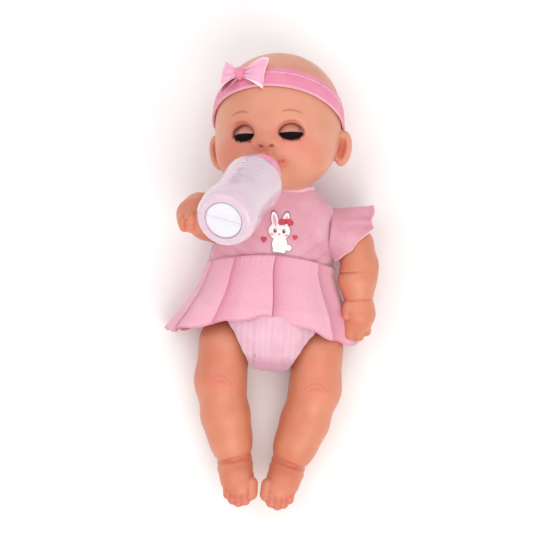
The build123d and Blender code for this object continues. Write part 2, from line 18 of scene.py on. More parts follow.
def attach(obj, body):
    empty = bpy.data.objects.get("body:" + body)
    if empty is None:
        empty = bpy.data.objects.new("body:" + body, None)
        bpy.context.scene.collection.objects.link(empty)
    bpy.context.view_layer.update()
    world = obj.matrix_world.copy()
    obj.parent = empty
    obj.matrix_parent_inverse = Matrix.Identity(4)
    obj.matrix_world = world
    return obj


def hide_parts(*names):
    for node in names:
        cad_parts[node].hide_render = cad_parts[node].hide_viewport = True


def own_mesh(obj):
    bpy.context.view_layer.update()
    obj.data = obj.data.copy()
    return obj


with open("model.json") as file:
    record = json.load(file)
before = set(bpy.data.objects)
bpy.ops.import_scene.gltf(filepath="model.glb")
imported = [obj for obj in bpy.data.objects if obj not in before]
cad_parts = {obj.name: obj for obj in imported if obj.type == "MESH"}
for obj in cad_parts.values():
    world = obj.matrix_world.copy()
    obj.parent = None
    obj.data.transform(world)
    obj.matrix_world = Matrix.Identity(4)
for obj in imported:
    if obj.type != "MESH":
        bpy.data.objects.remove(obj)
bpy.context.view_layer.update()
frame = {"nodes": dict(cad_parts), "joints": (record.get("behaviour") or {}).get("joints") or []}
JOINTS = {joint["name"]: joint for joint in frame["joints"]}
MM = 0.001

# %% [markdown]
# ## Places
# Every place comes from the frame: a joint's point is where a limb turns, and the head's own axes are the axes of
# the neck and of the eyes. Sizes inside a piece are in millimetres, in the piece's own axes, because a doll maker
# measures a head on the head and not on the table.


# %% Axes of the head and of the body
def joint_point(name):
    return Vector(JOINTS[name]["pos_m"])


def joint_axis(name):
    return Vector(JOINTS[name]["axis"]).normalized()


def axes(origin, x, y):
    """A place whose columns are x, y and their cross product, with the millimetre as its unit."""
    turn = Matrix((x, y, x.cross(y))).transposed().to_4x4()
    return Matrix.Translation(origin) @ turn @ Matrix.Scale(MM, 4)


HEAD = axes(joint_point("neck_turn"), -joint_axis("left_eye_roll"), -joint_axis("neck_turn"))
SHOULDER = (36.6, 39.5, 33.5)
BODY = Matrix.Translation(joint_point("left_shoulder") - Vector(SHOULDER) * MM) @ Matrix.Scale(MM, 4)
MIRROR = Matrix.Scale(-1, 4, (1, 0, 0))
BOTTLE_WAY = joint_axis("bottle_pull")
print("head origin", HEAD.translation, "body origin", BODY.translation)

# %% [markdown]
# ## Soft form from a field
# A vinyl skin has no flat faces: cheeks run into the jaw, and fingers into the palm. Polygons would have to be
# pushed by hand, so each skin is written as a field instead, which is negative inside. Balls and tapered rods
# are joined with a soft minimum, and creases are carved with a soft maximum, as a sculptor adds and cuts clay.


# %% Field primitives
def ball(p, centre, radius):
    return np.linalg.norm(p - np.array(centre), axis=-1) - radius


def egg(p, centre, radii, turn=(0, 0, 0)):
    """A ball stretched to three radii and turned by Euler angles in degrees."""
    q = p - np.array(centre)
    if any(turn):
        angles = [math.radians(a) for a in turn]
        q = q @ np.array(Matrix.Rotation(angles[2], 3, "Z") @ Matrix.Rotation(angles[1], 3, "Y")
                         @ Matrix.Rotation(angles[0], 3, "X"))
    r = np.array(radii, float)
    near = np.linalg.norm(q / r, axis=-1)
    return near * (near - 1) / np.maximum(np.linalg.norm(q / r ** 2, axis=-1), 1e-6)


def rod(p, start, end, r0, r1):
    """A tapered rod with round ends."""
    a, b = np.array(start, float), np.array(end, float)
    way = b - a
    t = np.clip((p - a) @ way / (way @ way), 0, 1)
    return np.linalg.norm(p - a - t[:, None] * way, axis=-1) - (r0 + (r1 - r0) * t)


def join(a, b, soft):
    """Soft minimum: clay added to clay."""
    h = np.maximum(soft - np.abs(a - b), 0) / soft
    return np.minimum(a, b) - h * h * soft / 4


def carve(a, b, soft):
    """Soft difference: b cut out of a."""
    return -join(-a, b, soft)


def ring(p, centre, normal, radius, thick):
    """A thin torus, which carves a crease round a limb."""
    n = np.array(normal, float) / np.linalg.norm(normal)
    q = p - np.array(centre)
    up = q @ n
    flat = np.linalg.norm(q - up[:, None] * n, axis=-1) - radius
    return np.hypot(up, flat) - thick


# %% [markdown]
# The field becomes a mesh by surface nets: one vertex in each grid cell that the surface crosses, and one quad
# for each grid edge. A few Newton steps then put every vertex exactly on the surface, so that the skin is smooth.


# %% Mesh from a field
def grid_points(lo, hi, step):
    lines = [np.arange(a, b + step, step) for a, b in zip(lo, hi)]
    return np.stack(np.meshgrid(*lines, indexing="ij"), -1)


def surface_net(field, lo, hi, step):
    points = grid_points(lo, hi, step)
    shape = points.shape[:3]
    value = np.concatenate([field(slab.reshape(-1, 3)) for slab in points]).reshape(shape)
    cells = tuple(n - 1 for n in shape)
    total, count = np.zeros(cells + (3,)), np.zeros(cells)
    corners = [(i, j, k) for i in (0, 1) for j in (0, 1) for k in (0, 1)]

    def part(array, corner):
        return array[tuple(slice(c, n + c) for c, n in zip(corner, cells))]

    for a in corners:
        for b in corners:
            if sum(b) == sum(a) + 1 and all(y >= x for x, y in zip(a, b)):
                fa, fb = part(value, a), part(value, b)
                crossed = (fa < 0) != (fb < 0)
                t = np.where(crossed, fa / np.where(crossed, fa - fb, 1), 0)
                pa, pb = part(points, a), part(points, b)
                total += np.where(crossed[..., None], pa + (pb - pa) * t[..., None], 0)
                count += crossed
    used = count > 0
    index = np.full(cells, -1)
    index[used] = np.arange(used.sum())
    verts = total[used] / count[used][:, None]
    quads = []
    for axis in range(3):
        u, v = (axis + 1) % 3, (axis + 2) % 3
        inside = value < 0
        ahead = np.roll(inside, -1, axis)
        edge = inside != ahead
        trim = [slice(1, n - 1) for n in shape]
        mask = np.zeros(shape, bool)
        mask[tuple(trim)] = edge[tuple(trim)]
        at = np.argwhere(mask)
        back_u, back_v = np.eye(3, dtype=int)[u], np.eye(3, dtype=int)[v]
        ring_of_cells = [at, at - back_u, at - back_u - back_v, at - back_v]
        quad = np.stack([index[tuple(c.T)] for c in ring_of_cells], 1)
        flip = ~inside[tuple(at.T)]
        quad[flip] = quad[flip][:, ::-1]
        quads.append(quad)
    return verts, np.concatenate(quads)


def settle(field, verts, step, rounds=4):
    """Newton steps onto the surface, no longer than half a cell."""
    small = 0.05
    for _ in range(rounds):
        slope = np.stack([(field(verts + small * e) - field(verts - small * e)) / (2 * small) for e in np.eye(3)], 1)
        value = field(verts)
        move = -value[:, None] * slope / np.maximum((slope ** 2).sum(1), 0.05)[:, None]
        length = np.linalg.norm(move, axis=1, keepdims=True)
        verts = verts + move * np.minimum(1, 0.5 * step / np.maximum(length, 1e-9))
    return verts


# %% [markdown]
# ## Objects and paint
# A finished piece sits at the origin with its place in its mesh. Paint that follows the form, such as blush or
# lips, is worked out per vertex as a number from 0 to 1 and stored as an attribute, which the material reads.


# %% Objects
def add_object(name, verts, faces, place, smooth=True):
    mesh = bpy.data.meshes.new(name)
    m = np.array(place)
    moved = np.asarray(verts) @ m[:3, :3].T + m[:3, 3]
    faces = [list(map(int, f)) for f in faces]
    if np.linalg.det(m[:3, :3]) < 0:
        faces = [f[::-1] for f in faces]
    mesh.from_pydata(moved.tolist(), [], faces)
    mesh.validate()
    mesh.polygons.foreach_set("use_smooth", [smooth] * len(mesh.polygons))
    obj = bpy.data.objects.new(name, mesh)
    bpy.context.scene.collection.objects.link(obj)
    return obj


def paint(obj, name, values):
    layer = obj.data.attributes.new(name, "FLOAT", "POINT")
    layer.data.foreach_set("value", np.clip(values, 0, 1).astype(np.float32))


def hollows(verts, quads, rounds=3):
    """How deep each vertex lies in a crease, the mask for painted shade: 0 on a flat or round place, 1 in a sharp fold.
    """
    pairs = np.concatenate([quads[:, [i, (i + 1) % 4]] for i in range(4)])
    normal = np.zeros_like(verts)
    face = np.cross(verts[quads[:, 2]] - verts[quads[:, 0]], verts[quads[:, 3]] - verts[quads[:, 1]])
    for i in range(4):
        np.add.at(normal, quads[:, i], face)
    normal /= np.maximum(np.linalg.norm(normal, axis=1, keepdims=True), 1e-9)

    def spread(values):
        total, count = np.zeros_like(values), np.zeros(len(verts))
        np.add.at(total, pairs[:, 0], values[pairs[:, 1]])
        np.add.at(count, pairs[:, 0], 1)
        return total / np.maximum(count, 1).reshape((-1,) + (1,) * (values.ndim - 1))

    bend = ((spread(verts) - verts) * normal).sum(1)
    for _ in range(rounds):
        bend = 0.5 * bend + 0.5 * spread(bend)
    return np.clip(bend / 0.05, 0, 1)


def sculpt(name, field, lo, hi, step, place, paints=None):
    """A skin from its field, with its paint."""
    verts, quads = surface_net(field, lo, hi, step)
    verts = settle(field, verts, step)
    obj = add_object(name, verts, quads, place)
    # painted shade: a darker tone in each crease
    paint(obj, "hollow_shade", hollows(verts, quads))
    for layer, rule in (paints or {}).items():
        paint(obj, layer, rule(verts))
    print(name, len(verts), "vertices")
    return obj


# %% [markdown]
# ## Materials
# One function turns a hex colour to linear light, and one adds a node. Each material is named for the real one.


# %% Colours and nodes
def colour(hex_code):
    parts = [int(hex_code[i:i + 2], 16) / 255 for i in (1, 3, 5)]
    return tuple(c / 12.92 if c <= 0.04045 else ((c + 0.055) / 1.055) ** 2.4 for c in parts) + (1,)


def add(tree, kind, settings=None, **inputs):
    """A node with its settings, and its inputs set to values or linked to sockets.
    An input is named with underscores for spaces, or given as in_0, in_1 by its number."""
    made = tree.nodes.new(kind)
    for key, value in (settings or {}).items():
        setattr(made, key, value)
    for key, value in inputs.items():
        number = key[3:]
        numbered = key.startswith("in_") and number.isdigit()
        socket = made.inputs[int(number) if numbered else key.replace("_", " ")]
        if isinstance(value, bpy.types.NodeSocket):
            tree.links.new(value, socket)
        else:
            socket.default_value = value
    return made


def new_material(name, **shader):
    """A principled material: uniform values sit on the shader's own sockets."""
    mat = bpy.data.materials.new(name)
    mat.use_nodes = True
    tree = mat.node_tree
    bsdf = tree.nodes["Principled BSDF"]
    for key, value in shader.items():
        bsdf.inputs[key.replace("_", " ")].default_value = value
    return mat, tree, bsdf


def ramp(tree, factor, stops, interpolation="LINEAR"):
    """A colour ramp from (position, colour or number) stops."""
    made = add(tree, "ShaderNodeValToRGB", Fac=factor)
    made.color_ramp.interpolation = interpolation
    while len(made.color_ramp.elements) < len(stops):
        made.color_ramp.elements.new(0.5)
    for element, (position, value) in zip(made.color_ramp.elements, stops):
        element.position = position
        element.color = value if isinstance(value, tuple) else (value, value, value, 1)
    return made.outputs["Color"]


def mix(tree, factor, a, b, kind="MIX"):
    made = tree.nodes.new("ShaderNodeMix")
    made.data_type, made.blend_type = "RGBA", kind
    for socket, value in ((made.inputs[0], factor), (made.inputs[6], a), (made.inputs[7], b)):
        if isinstance(value, bpy.types.NodeSocket):
            tree.links.new(value, socket)
        else:
            socket.default_value = value
    return made.outputs[2]


def maths(tree, kind, a, b=0.0, clamp=False):
    return add(tree, "ShaderNodeMath", {"operation": kind, "use_clamp": clamp}, in_0=a, in_1=b).outputs[0]


def attribute(tree, name):
    return add(tree, "ShaderNodeAttribute", {"attribute_name": name}).outputs["Fac"]


def object_place(tree):
    return add(tree, "ShaderNodeTexCoord").outputs["Object"]


def noise(tree, size_mm, detail=3.0, place=None, rough=0.5):
    """Noise whose blobs are about size_mm across."""
    made = add(tree, "ShaderNodeTexNoise", Vector=place or object_place(tree), Scale=1000 / size_mm,
               Detail=detail, Roughness=rough)
    return made.outputs["Fac"]


def finish_bump(tree, bsdf, height, depth_mm, strength=1.0, before=None):
    made = add(tree, "ShaderNodeBump", Height=height, Distance=depth_mm * MM, Strength=strength)
    if before:
        tree.links.new(before, made.inputs["Normal"])
    tree.links.new(made.outputs["Normal"], bsdf.inputs["Normal"])
    return made.outputs["Normal"]


# %% [markdown]
# ### Soft vinyl
# Rotocast PVC plastisol: matt from a sandblasted mould, a little light goes into it, and blush is sprayed on the
# cheeks, knees and creases. The creases are darkened further with a painted shade. Pigment is never quite even, so two
# sizes of noise shift the tone.


# %% Soft vinyl
def vinyl(name, base, warm, shade):
    mat, tree, bsdf = new_material(name, Roughness=0.42, Subsurface_Weight=0.06, Subsurface_Scale=0.003,
                                   Coat_Weight=0.08, Coat_Roughness=0.35, IOR=1.52)
    bsdf.inputs["Subsurface Radius"].default_value = (1.0, 0.35, 0.2)
    cloud = ramp(tree, noise(tree, 38, 3), [(0.35, 0.0), (0.7, 1.0)])
    skin = mix(tree, cloud, colour(base), colour(warm))
    skin = mix(tree, maths(tree, "MULTIPLY", noise(tree, 3.5, 4), 0.25), skin, colour(warm))
    skin = mix(tree, attribute(tree, "blush"), skin, colour("#d96a5c"))
    # painted shade in the creases
    skin = mix(tree, maths(tree, "MULTIPLY", attribute(tree, "hollow_shade"), 0.42), skin, colour(shade))
    # painted shade round and inside the eye openings and in the nostrils; darker outlines round the nails
    skin = mix(tree, attribute(tree, "dark"), skin, colour("#5a231c"))
    skin = mix(tree, attribute(tree, "brow"), skin, colour("#a05336"))
    tree.links.new(skin, bsdf.inputs["Base Color"])
    rough = ramp(tree, noise(tree, 9, 4), [(0.3, 0.36), (0.75, 0.52)])
    tree.links.new(rough, bsdf.inputs["Roughness"])
    blast = maths(tree, "ADD", noise(tree, 0.5, 2), maths(tree, "MULTIPLY", noise(tree, 5, 3), 1.2))
    finish_bump(tree, bsdf, blast, 0.05)
    return mat


SKIN = vinyl("soft_vinyl", "#dc9a7f", "#d28a6d", "#a9513d")
LIMB_SKIN = vinyl("limb_vinyl", "#d98b6c", "#cc7858", "#a84a33")
print("vinyl", SKIN.name)

# %% [markdown]
# ## Head
# One rotocast shell with a hole for each eye, a hole for the teat, and a neck opening. It is made soft so that it
# can be pulled off its mould through that neck. The brow, cheeks, nose and chin are joined with wide soft radii.

# %% Head field
EYE = np.array((14.6, 43.5, 35.6))
EYE_TURN = math.radians(20)
MOUTH = np.array((0, 22, 44.5))
HEAD_BACK = HEAD.inverted()
TEAT_WAY = np.array(HEAD_BACK.to_3x3() @ BOTTLE_WAY)
TEAT_WAY /= np.linalg.norm(TEAT_WAY)


def eye_frame(p, side):
    """Across, up and out of an eye opening, measured from the middle of the socket."""
    q = p * (side, 1, 1) - EYE
    out = np.array((math.sin(EYE_TURN), 0, math.cos(EYE_TURN)))
    across = np.array((math.cos(EYE_TURN), 0, -math.sin(EYE_TURN)))
    return q @ across, q[:, 1], q @ out


def eye_opening(p, side):
    """An almond, wide across and a little lower at its outer corner; negative inside."""
    x, y, z = eye_frame(p, side)
    flat = np.hypot(x / 9.0, (y - 2.8 + 0.012 * x * x) / 5.5)
    return np.where(z > 0, (flat - 1) * 5.5, 5.5)


def head_field(p):
    f = egg(p, (0, 62.5, 2), (47.5, 46.5, 47.5))
    f = join(f, egg(p, (0, 36, 12), (42, 25, 32)), 22)
    f = join(f, egg(p, (0, 66, 18), (34, 26, 32)), 14)
    f = join(f, rod(p, (0, 2, 0), (0, 22, 6), 20.5, 24), 12)
    for side in (-1, 1):
        f = join(f, ball(p, (22 * side, 28, 23.5), 18.6), 13)
        f = join(f, egg(p, (14 * side, 53, 32), (13, 7, 11.5)), 9)
    f = join(f, ball(p, (0, 15.6, 32.3), 8.6), 10)
    f = join(f, rod(p, (0, 51, 41), (0, 41, 46.3), 3.4, 4.4), 9)
    f = join(f, ball(p, (0, 39.6, 49.2), 5.1), 3.6)
    for side in (-1, 1):
        f = join(f, ball(p, (6.4 * side, 37.8, 46.6), 3.9), 2.2)
        f = carve(f, egg(p, (3.9 * side, 35.2, 50.6), (1.6, 1.1, 2.2), (20, 0, 0)), 1.2)
    q = p - MOUTH
    along = q @ TEAT_WAY
    around = np.linalg.norm(q - along[:, None] * TEAT_WAY, axis=-1)
    lips = np.hypot((around - 6.4) / 1.0, (along - 0.8) / 1.3) - 2.5
    f = join(f, lips, 3.2)
    f = carve(f, around - 4.5 + 0 * along, 1.2)
    f = carve(f, ball(p, (0, 29.2, 50.2), 1.6), 2.4)
    for side in (-1, 1):
        f = carve(f, rod(p, (9.2 * side, 23.6, 45.4), (10.6 * side, 24.4, 44.0), 0.7, 0.4), 2.2)
        x, y, z = eye_frame(p, side)
        rim = np.hypot(x / 10.6, (y - 3.1 + 0.012 * x * x) / 7.0)
        f = carve(f, np.where(z > 0, (rim - 1) * 7 + np.maximum(0, 11.4 - z) * 1.1, 9), 3.0)
        f = carve(f, eye_opening(p, side), 0.9)
        f = carve(f, ball(p * (side, 1, 1), EYE, 11.3), 0.3)
        ear = egg(p, (48.6 * side, 35.0, 0.5), (7.0, 13.6, 5.2), (0, 24 * side, -8 * side))
        bowl = join(egg(p, (49.2 * side, 36.6, 6.2), (3.7, 8.4, 4.2), (0, 24 * side, -10 * side)),
                    egg(p, (47.4 * side, 29.5, 6.4), (2.8, 4.6, 3.4)), 2)
        f = join(f, carve(ear, bowl, 1.8), 3.0)
    f = carve(f, np.where(p[:, 1] < 10, np.hypot(p[:, 0], p[:, 2]) - 17.5, 9), 1.5)
    return np.maximum(f, 3.5 - p[:, 1])


# %% [markdown]
# Blush is sprayed through a mask on the cheeks, the nose and round the mouth. The lips are sprayed a little redder,
# a painted shadow lines the gap round each eye, painted shade darkens the eye openings and nostrils, and two thin brows
# are printed.


# %% Head paint
def near(p, centre, radius, soft=1.0):
    """1 at a centre, falling to 0 at a radius."""
    d = np.linalg.norm((p - np.array(centre)) / np.array(radius, float), axis=-1)
    return np.clip(1 - d, 0, 1) ** soft


def head_blush(p):
    amount = 0.75 * near(p, (28, 30, 34), (17, 15, 18)) + 0.75 * near(p, (-28, 30, 34), (17, 15, 18))
    amount += 0.30 * near(p, (0, 39, 54), 10) + 0.5 * near(p, (0, 13, 41), 12)
    q = p - MOUTH
    around = np.linalg.norm(q - (q @ TEAT_WAY)[:, None] * TEAT_WAY, axis=-1)
    amount += np.where(p[:, 2] > 30, 0.75 * np.clip(1.6 - around / 6.2, 0, 1), 0)
    amount += 0.7 * near(p, (11.5, 23.5, 44), 6) + 0.7 * near(p, (-11.5, 23.5, 44), 6)
    for side in (-1, 1):
        x, y, z = eye_frame(p, side)
        amount += np.where(z > 0, 0.42 * np.clip(2.1 - np.hypot(x / 9.2, y / 7), 0, 1), 0)
        amount += 1.1 * near(p, (47.5 * side, 33, 4), (7, 11, 7))
    return amount


# painted shade: a dark line in the gap round each eye, darker below it, the inside of each eye opening, and the
# nostrils
def eye_and_nostril_shade(p):
    amount = np.zeros(len(p))
    for side in (-1, 1):
        x, y, z = eye_frame(p, side)
        off = np.abs(eye_opening(p, side) - 0.15)
        line = np.clip(1.35 - off / 0.75, 0, 1) * np.where(y < 1, 0.95, 0.55)
        amount += np.where(z > 5, line, 0)
        amount += np.where(z > 0, np.clip(-eye_opening(p, side) * 1.2, 0, 1), 0)
    nostrils = sum(near(p, (3.9 * side, 35.0, 50.2), (1.9, 1.5, 2.4), 0.6) for side in (-1, 1))
    return np.clip(amount, 0, 0.9) + 0.75 * nostrils


def brows(p):
    amount = np.zeros(len(p))
    for side in (-1, 1):
        x = p[:, 0] * side
        t = np.clip((x - 13.0) / 14.0, 0, 1)
        height = 59.4 + 2.4 * np.sin(math.pi * (0.15 + 0.8 * t)) - 1.2 * t
        width = 0.66 * np.sin(math.pi * (0.12 + 0.8 * t)) + 0.12
        inside = (x > 12.6) & (x < 27.4) & (p[:, 2] > 20)
        amount += np.where(inside, np.clip(1.4 - np.abs(p[:, 1] - height) / width, 0, 1) * 0.72, 0)
    return amount


fine = 0.72
head = sculpt("head_skin", head_field, (-57, 1, -49), (57, 112, 58), fine, HEAD,
              {"blush": head_blush, "dark": eye_and_nostril_shade, "brow": brows})
head.data.materials.append(SKIN)
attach(head, "head")
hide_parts("head_shell")

# %% [markdown]
# ## Eyes
# Each eye is a weighted ball that rolls when the head comes upright. Its lid is a skin-coloured cap that covers
# the ball while the doll lies down, with a bristle fringe along the lower edge of the lid. The iris is moulded on
# the ball, turned down out of sight while the doll sleeps.


# %% Eyeballs and lids
def eye_axes(side):
    """An eye's own axes: x across, y up, z straight out through the face, from the middle of the ball."""
    place = Matrix.Translation((EYE[0] * side, EYE[1], EYE[2])) @ Matrix.Rotation(EYE_TURN * side, 4, "Y")
    return HEAD @ place


def cap(radii, start, stop, rows=48, columns=64, close=True):
    """Part of an ellipsoid turned about its x axis, from one angle above straight-out to another."""
    verts, faces = [], []
    for i in range(rows + 1):
        a = math.radians(start + (stop - start) * i / rows)
        for j in range(columns + 1):
            u = math.pi * (0.015 + 0.97 * j / columns)
            verts.append((-radii[0] * math.cos(u), radii[1] * math.sin(u) * math.sin(a),
                          radii[2] * math.sin(u) * math.cos(a)))
    for i in range(rows):
        for j in range(columns):
            k = i * (columns + 1) + j
            faces.append((k, k + columns + 1, k + columns + 2, k + 1))
    return np.array(verts), faces


def thick_cap(radii, start, stop, wall, **counts):
    outer, faces = cap(radii, start, stop, **counts)
    inner, _ = cap([r - wall for r in radii], start, stop, **counts)
    n = len(outer)
    edges = {}
    for f in faces:
        for a, b in zip(f, f[1:] + f[:1]):
            edges[(a, b)] = edges.get((b, a)) is None
            if (b, a) in edges:
                edges[(b, a)] = edges[(a, b)] = False
    both = list(faces) + [tuple(n + i for i in f[::-1]) for f in faces]
    both += [(b, a, a + n, b + n) for (a, b), free in edges.items() if free]
    return np.concatenate([outer, inner]), both


LID_EDGE = 10.0
for side, name in ((1, "left"), (-1, "right")):
    place = eye_axes(side)
    verts, faces = cap((9.7, 9.9, 9.9), -180, 180, 96, 64)
    eyeball = add_object(name + "_eyeball_skin", verts, faces, place)
    with_poles = bmesh.new()
    with_poles.from_mesh(eyeball.data)
    bmesh.ops.remove_doubles(with_poles, verts=with_poles.verts, dist=1e-7)
    bmesh.ops.holes_fill(with_poles, edges=with_poles.edges, sides=0)
    with_poles.to_mesh(eyeball.data)
    with_poles.free()
    # the iris looks 60 degrees below straight out
    local = np.array([tuple(place.inverted() @ v.co) for v in eyeball.data.vertices])
    gaze = np.array((0, -math.sin(math.radians(60)), math.cos(math.radians(60))))
    away = np.degrees(np.arccos(np.clip(local @ gaze / np.linalg.norm(local, axis=1), -1, 1)))
    paint(eyeball, "away", away / 90)
    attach(eyeball, name + "_eye")
    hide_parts(name + "_eyeball")

    verts, faces = thick_cap((11.6, 10.95, 10.95), LID_EDGE, 118, 0.8)
    lid = add_object(name + "_eyelid_skin", verts, faces, place)
    angle = np.degrees(np.arctan2(verts[:, 1], verts[:, 2]))
    # painted highlight: a lighter line along the lower edge of the lid
    paint(lid, "edge", np.clip(1.5 - np.abs(angle - LID_EDGE) / 5.5, 0, 1))
    paint(lid, "blush", 0.30 + 0.45 * np.clip(np.abs(verts[:, 0]) / 11, 0, 1) ** 2)
    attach(lid, name + "_eye")
    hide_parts(name + "_eyelid")
    lid["side"] = side
print("eyes made")


# %% [markdown]
# Lashes are nylon bristles set in a strip. One bristle is a thin tapered rod bent outwards; Geometry Nodes puts it
# on every point of the strip with its own length and lean, so the fringe is regular but not stamped.


# %% A node tree that scatters a piece on points
def group_socket(tree, name, kind, direction="INPUT"):
    return tree.interface.new_socket(name=name, in_out=direction, socket_type=kind)


def scatter_tree():
    """Copies of one object on the points of a mesh, turned to the point's own axes and scaled by chance."""
    tree = bpy.data.node_groups.new("scatter_on_points", "GeometryNodeTree")
    group_socket(tree, "Points", "NodeSocketGeometry")
    group_socket(tree, "Piece", "NodeSocketObject")
    group_socket(tree, "Least", "NodeSocketFloat")
    group_socket(tree, "Most", "NodeSocketFloat")
    group_socket(tree, "Lean", "NodeSocketFloat")
    group_socket(tree, "Seed", "NodeSocketInt")
    group_socket(tree, "Material", "NodeSocketMaterial")
    group_socket(tree, "Mesh", "NodeSocketGeometry", "OUTPUT")
    given = tree.nodes.new("NodeGroupInput").outputs
    piece = add(tree, "GeometryNodeObjectInfo", Object=given["Piece"])
    along = add(tree, "GeometryNodeInputNamedAttribute", {"data_type": "FLOAT_VECTOR"}, Name="along")
    out = add(tree, "GeometryNodeInputNamedAttribute", {"data_type": "FLOAT_VECTOR"}, Name="out")
    facing = add(tree, "FunctionNodeAxesToRotation", {"primary_axis": "X", "secondary_axis": "Z"},
                 in_0=along.outputs["Attribute"], in_1=out.outputs["Attribute"])
    chance = add(tree, "FunctionNodeRandomValue", {"data_type": "FLOAT"}, Min=-1.0, Max=1.0, Seed=given["Seed"])
    lean = add(tree, "ShaderNodeMath", {"operation": "MULTIPLY"}, in_0=chance.outputs["Value"], in_1=given["Lean"])
    tilt = add(tree, "ShaderNodeCombineXYZ", X=lean.outputs[0], Y=lean.outputs[0])
    tilt_turn = add(tree, "FunctionNodeEulerToRotation", Euler=tilt.outputs[0])
    turned = add(tree, "FunctionNodeRotateRotation", {"rotation_space": "LOCAL"},
                 Rotation=facing.outputs[0], in_1=tilt_turn.outputs[0])
    size = add(tree, "FunctionNodeRandomValue", {"data_type": "FLOAT"},
               Min=given["Least"], Max=given["Most"], Seed=given["Seed"])
    copies = add(tree, "GeometryNodeInstanceOnPoints", Points=given["Points"], Instance=piece.outputs["Geometry"],
                 Rotation=turned.outputs[0], Scale=size.outputs["Value"])
    real = add(tree, "GeometryNodeRealizeInstances", Geometry=copies.outputs[0])
    dressed = add(tree, "GeometryNodeSetMaterial", Geometry=real.outputs[0], Material=given["Material"])
    tree.links.new(dressed.outputs[0], add(tree, "NodeGroupOutput").inputs["Mesh"])
    return tree


SCATTER = scatter_tree()


def scatter(name, piece, points, along, out, material, least=0.9, most=1.1, lean=0.05, seed=7):
    """A plain mesh of copies of a small piece, one on each point (all in metres, in world axes)."""
    mesh = bpy.data.meshes.new(name)
    mesh.from_pydata([tuple(p) for p in points], [], [])
    for key, vectors in (("along", along), ("out", out)):
        layer = mesh.attributes.new(key, "FLOAT_VECTOR", "POINT")
        layer.data.foreach_set("vector", np.asarray(vectors, np.float32).ravel())
    obj = bpy.data.objects.new(name, mesh)
    bpy.context.scene.collection.objects.link(obj)
    modifier = obj.modifiers.new("scatter", "NODES")
    modifier.node_group = SCATTER
    given = {"Piece": piece, "Least": least, "Most": most, "Lean": lean, "Seed": seed, "Material": material}
    for socket in SCATTER.interface.items_tree:
        if socket.in_out == "INPUT" and socket.name in given:
            modifier[socket.identifier] = given[socket.name]
    bpy.context.view_layer.update()
    shaped = bpy.data.meshes.new_from_object(obj.evaluated_get(bpy.context.evaluated_depsgraph_get()))
    obj.modifiers.remove(modifier)
    obj.data = shaped
    shaped.polygons.foreach_set("use_smooth", [True] * len(shaped.polygons))
    print(name, len(points), "copies", len(shaped.polygons), "faces")
    return obj


def tube_mesh(path, radii, sides=8):
    """A closed tube round a path of points, with a radius at each."""
    path = np.asarray(path, float)
    way = np.gradient(path, axis=0)
    way /= np.linalg.norm(way, axis=1, keepdims=True)
    side = np.cross(way[0], (0.3, 0.2, 1.0))
    verts, faces = [], []
    for i, (centre, w, r) in enumerate(zip(path, way, radii)):
        side = side - (side @ w) * w
        side /= np.linalg.norm(side)
        up = np.cross(w, side)
        for j in range(sides):
            a = 2 * math.pi * j / sides
            verts.append(centre + r * (math.cos(a) * side + math.sin(a) * up))
        if i:
            base = (i - 1) * sides
            faces += [(base + j, base + (j + 1) % sides, base + sides + (j + 1) % sides, base + sides + j)
                      for j in range(sides)]
    faces.append(tuple(range(sides))[::-1])
    faces.append(tuple(range(len(verts) - sides, len(verts))))
    return np.array(verts), faces


def hidden_piece(name, verts, faces):
    """A small piece that is only scattered, never seen by itself."""
    obj = add_object(name, verts, faces, Matrix.Scale(MM, 4))
    bpy.context.scene.collection.objects.unlink(obj)
    return obj


# %% Lashes
def bristle(length, lift, thick=0.1):
    t = np.linspace(0, 1, 7)[:, None]
    path = t * (length, 0, 0) + np.sin(t * math.pi / 2) ** 2 * (0, 0, 1) * lift
    return tube_mesh(path, thick * (1 - 0.8 * t[:, 0] ** 1.5), 5)


LASH_HAIR = hidden_piece("lash_bristle", *bristle(7.0, 1.2, 0.2))
NYLON, lash_tree, lash_bsdf = new_material("nylon_bristle", Roughness=0.6, Specular_IOR_Level=0.2)
shade = ramp(lash_tree, noise(lash_tree, 2.0, 2), [(0.3, colour("#0d0404")), (0.8, colour("#240c0b"))])
lash_tree.links.new(shade, lash_bsdf.inputs["Base Color"])
finish_bump(lash_tree, lash_bsdf, noise(lash_tree, 0.3, 2), 0.02)

for side, name in ((1, "left"), (-1, "right")):
    place = eye_axes(side)
    verts, faces = thick_cap((11.2, 11.15, 11.15), LID_EDGE - 33, LID_EDGE - 0.5, 0.3)
    strip = add_object(name + "_lash_strip", verts, faces, place)
    strip.data.materials.append(NYLON)
    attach(strip, name + "_eye")
    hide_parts(name + "_lashes")
    turn = np.array(place.to_3x3()) / MM
    points, ways, outs = [], [], []
    for row, edge in enumerate((LID_EDGE - 1.0, LID_EDGE + 1.5)):
        for i in range(46):
            u = math.pi * (0.16 + 0.68 * (i + 0.5 * row) / 45)
            a = math.radians(edge)
            spot = np.array((-11.6 * math.cos(u), 11.0 * math.sin(u) * math.sin(a), 11.0 * math.sin(u) * math.cos(a)))
            away = np.array((spot[0] * 0.25, spot[1] * 0.6, spot[2]))
            away /= np.linalg.norm(away)
            down = np.array((spot[0] * 0.055, -1.0, 0.0))
            down -= (down @ away) * away
            down /= np.linalg.norm(down)
            points.append(place @ Vector(spot))
            ways.append(turn @ down)
            outs.append(turn @ away)
    lashes = scatter(name + "_lash_fringe", LASH_HAIR, points, ways, outs, NYLON, 0.82, 1.08, 0.10, 11 + side)
    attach(lashes, name + "_eye")
    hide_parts(name + "_lashes")
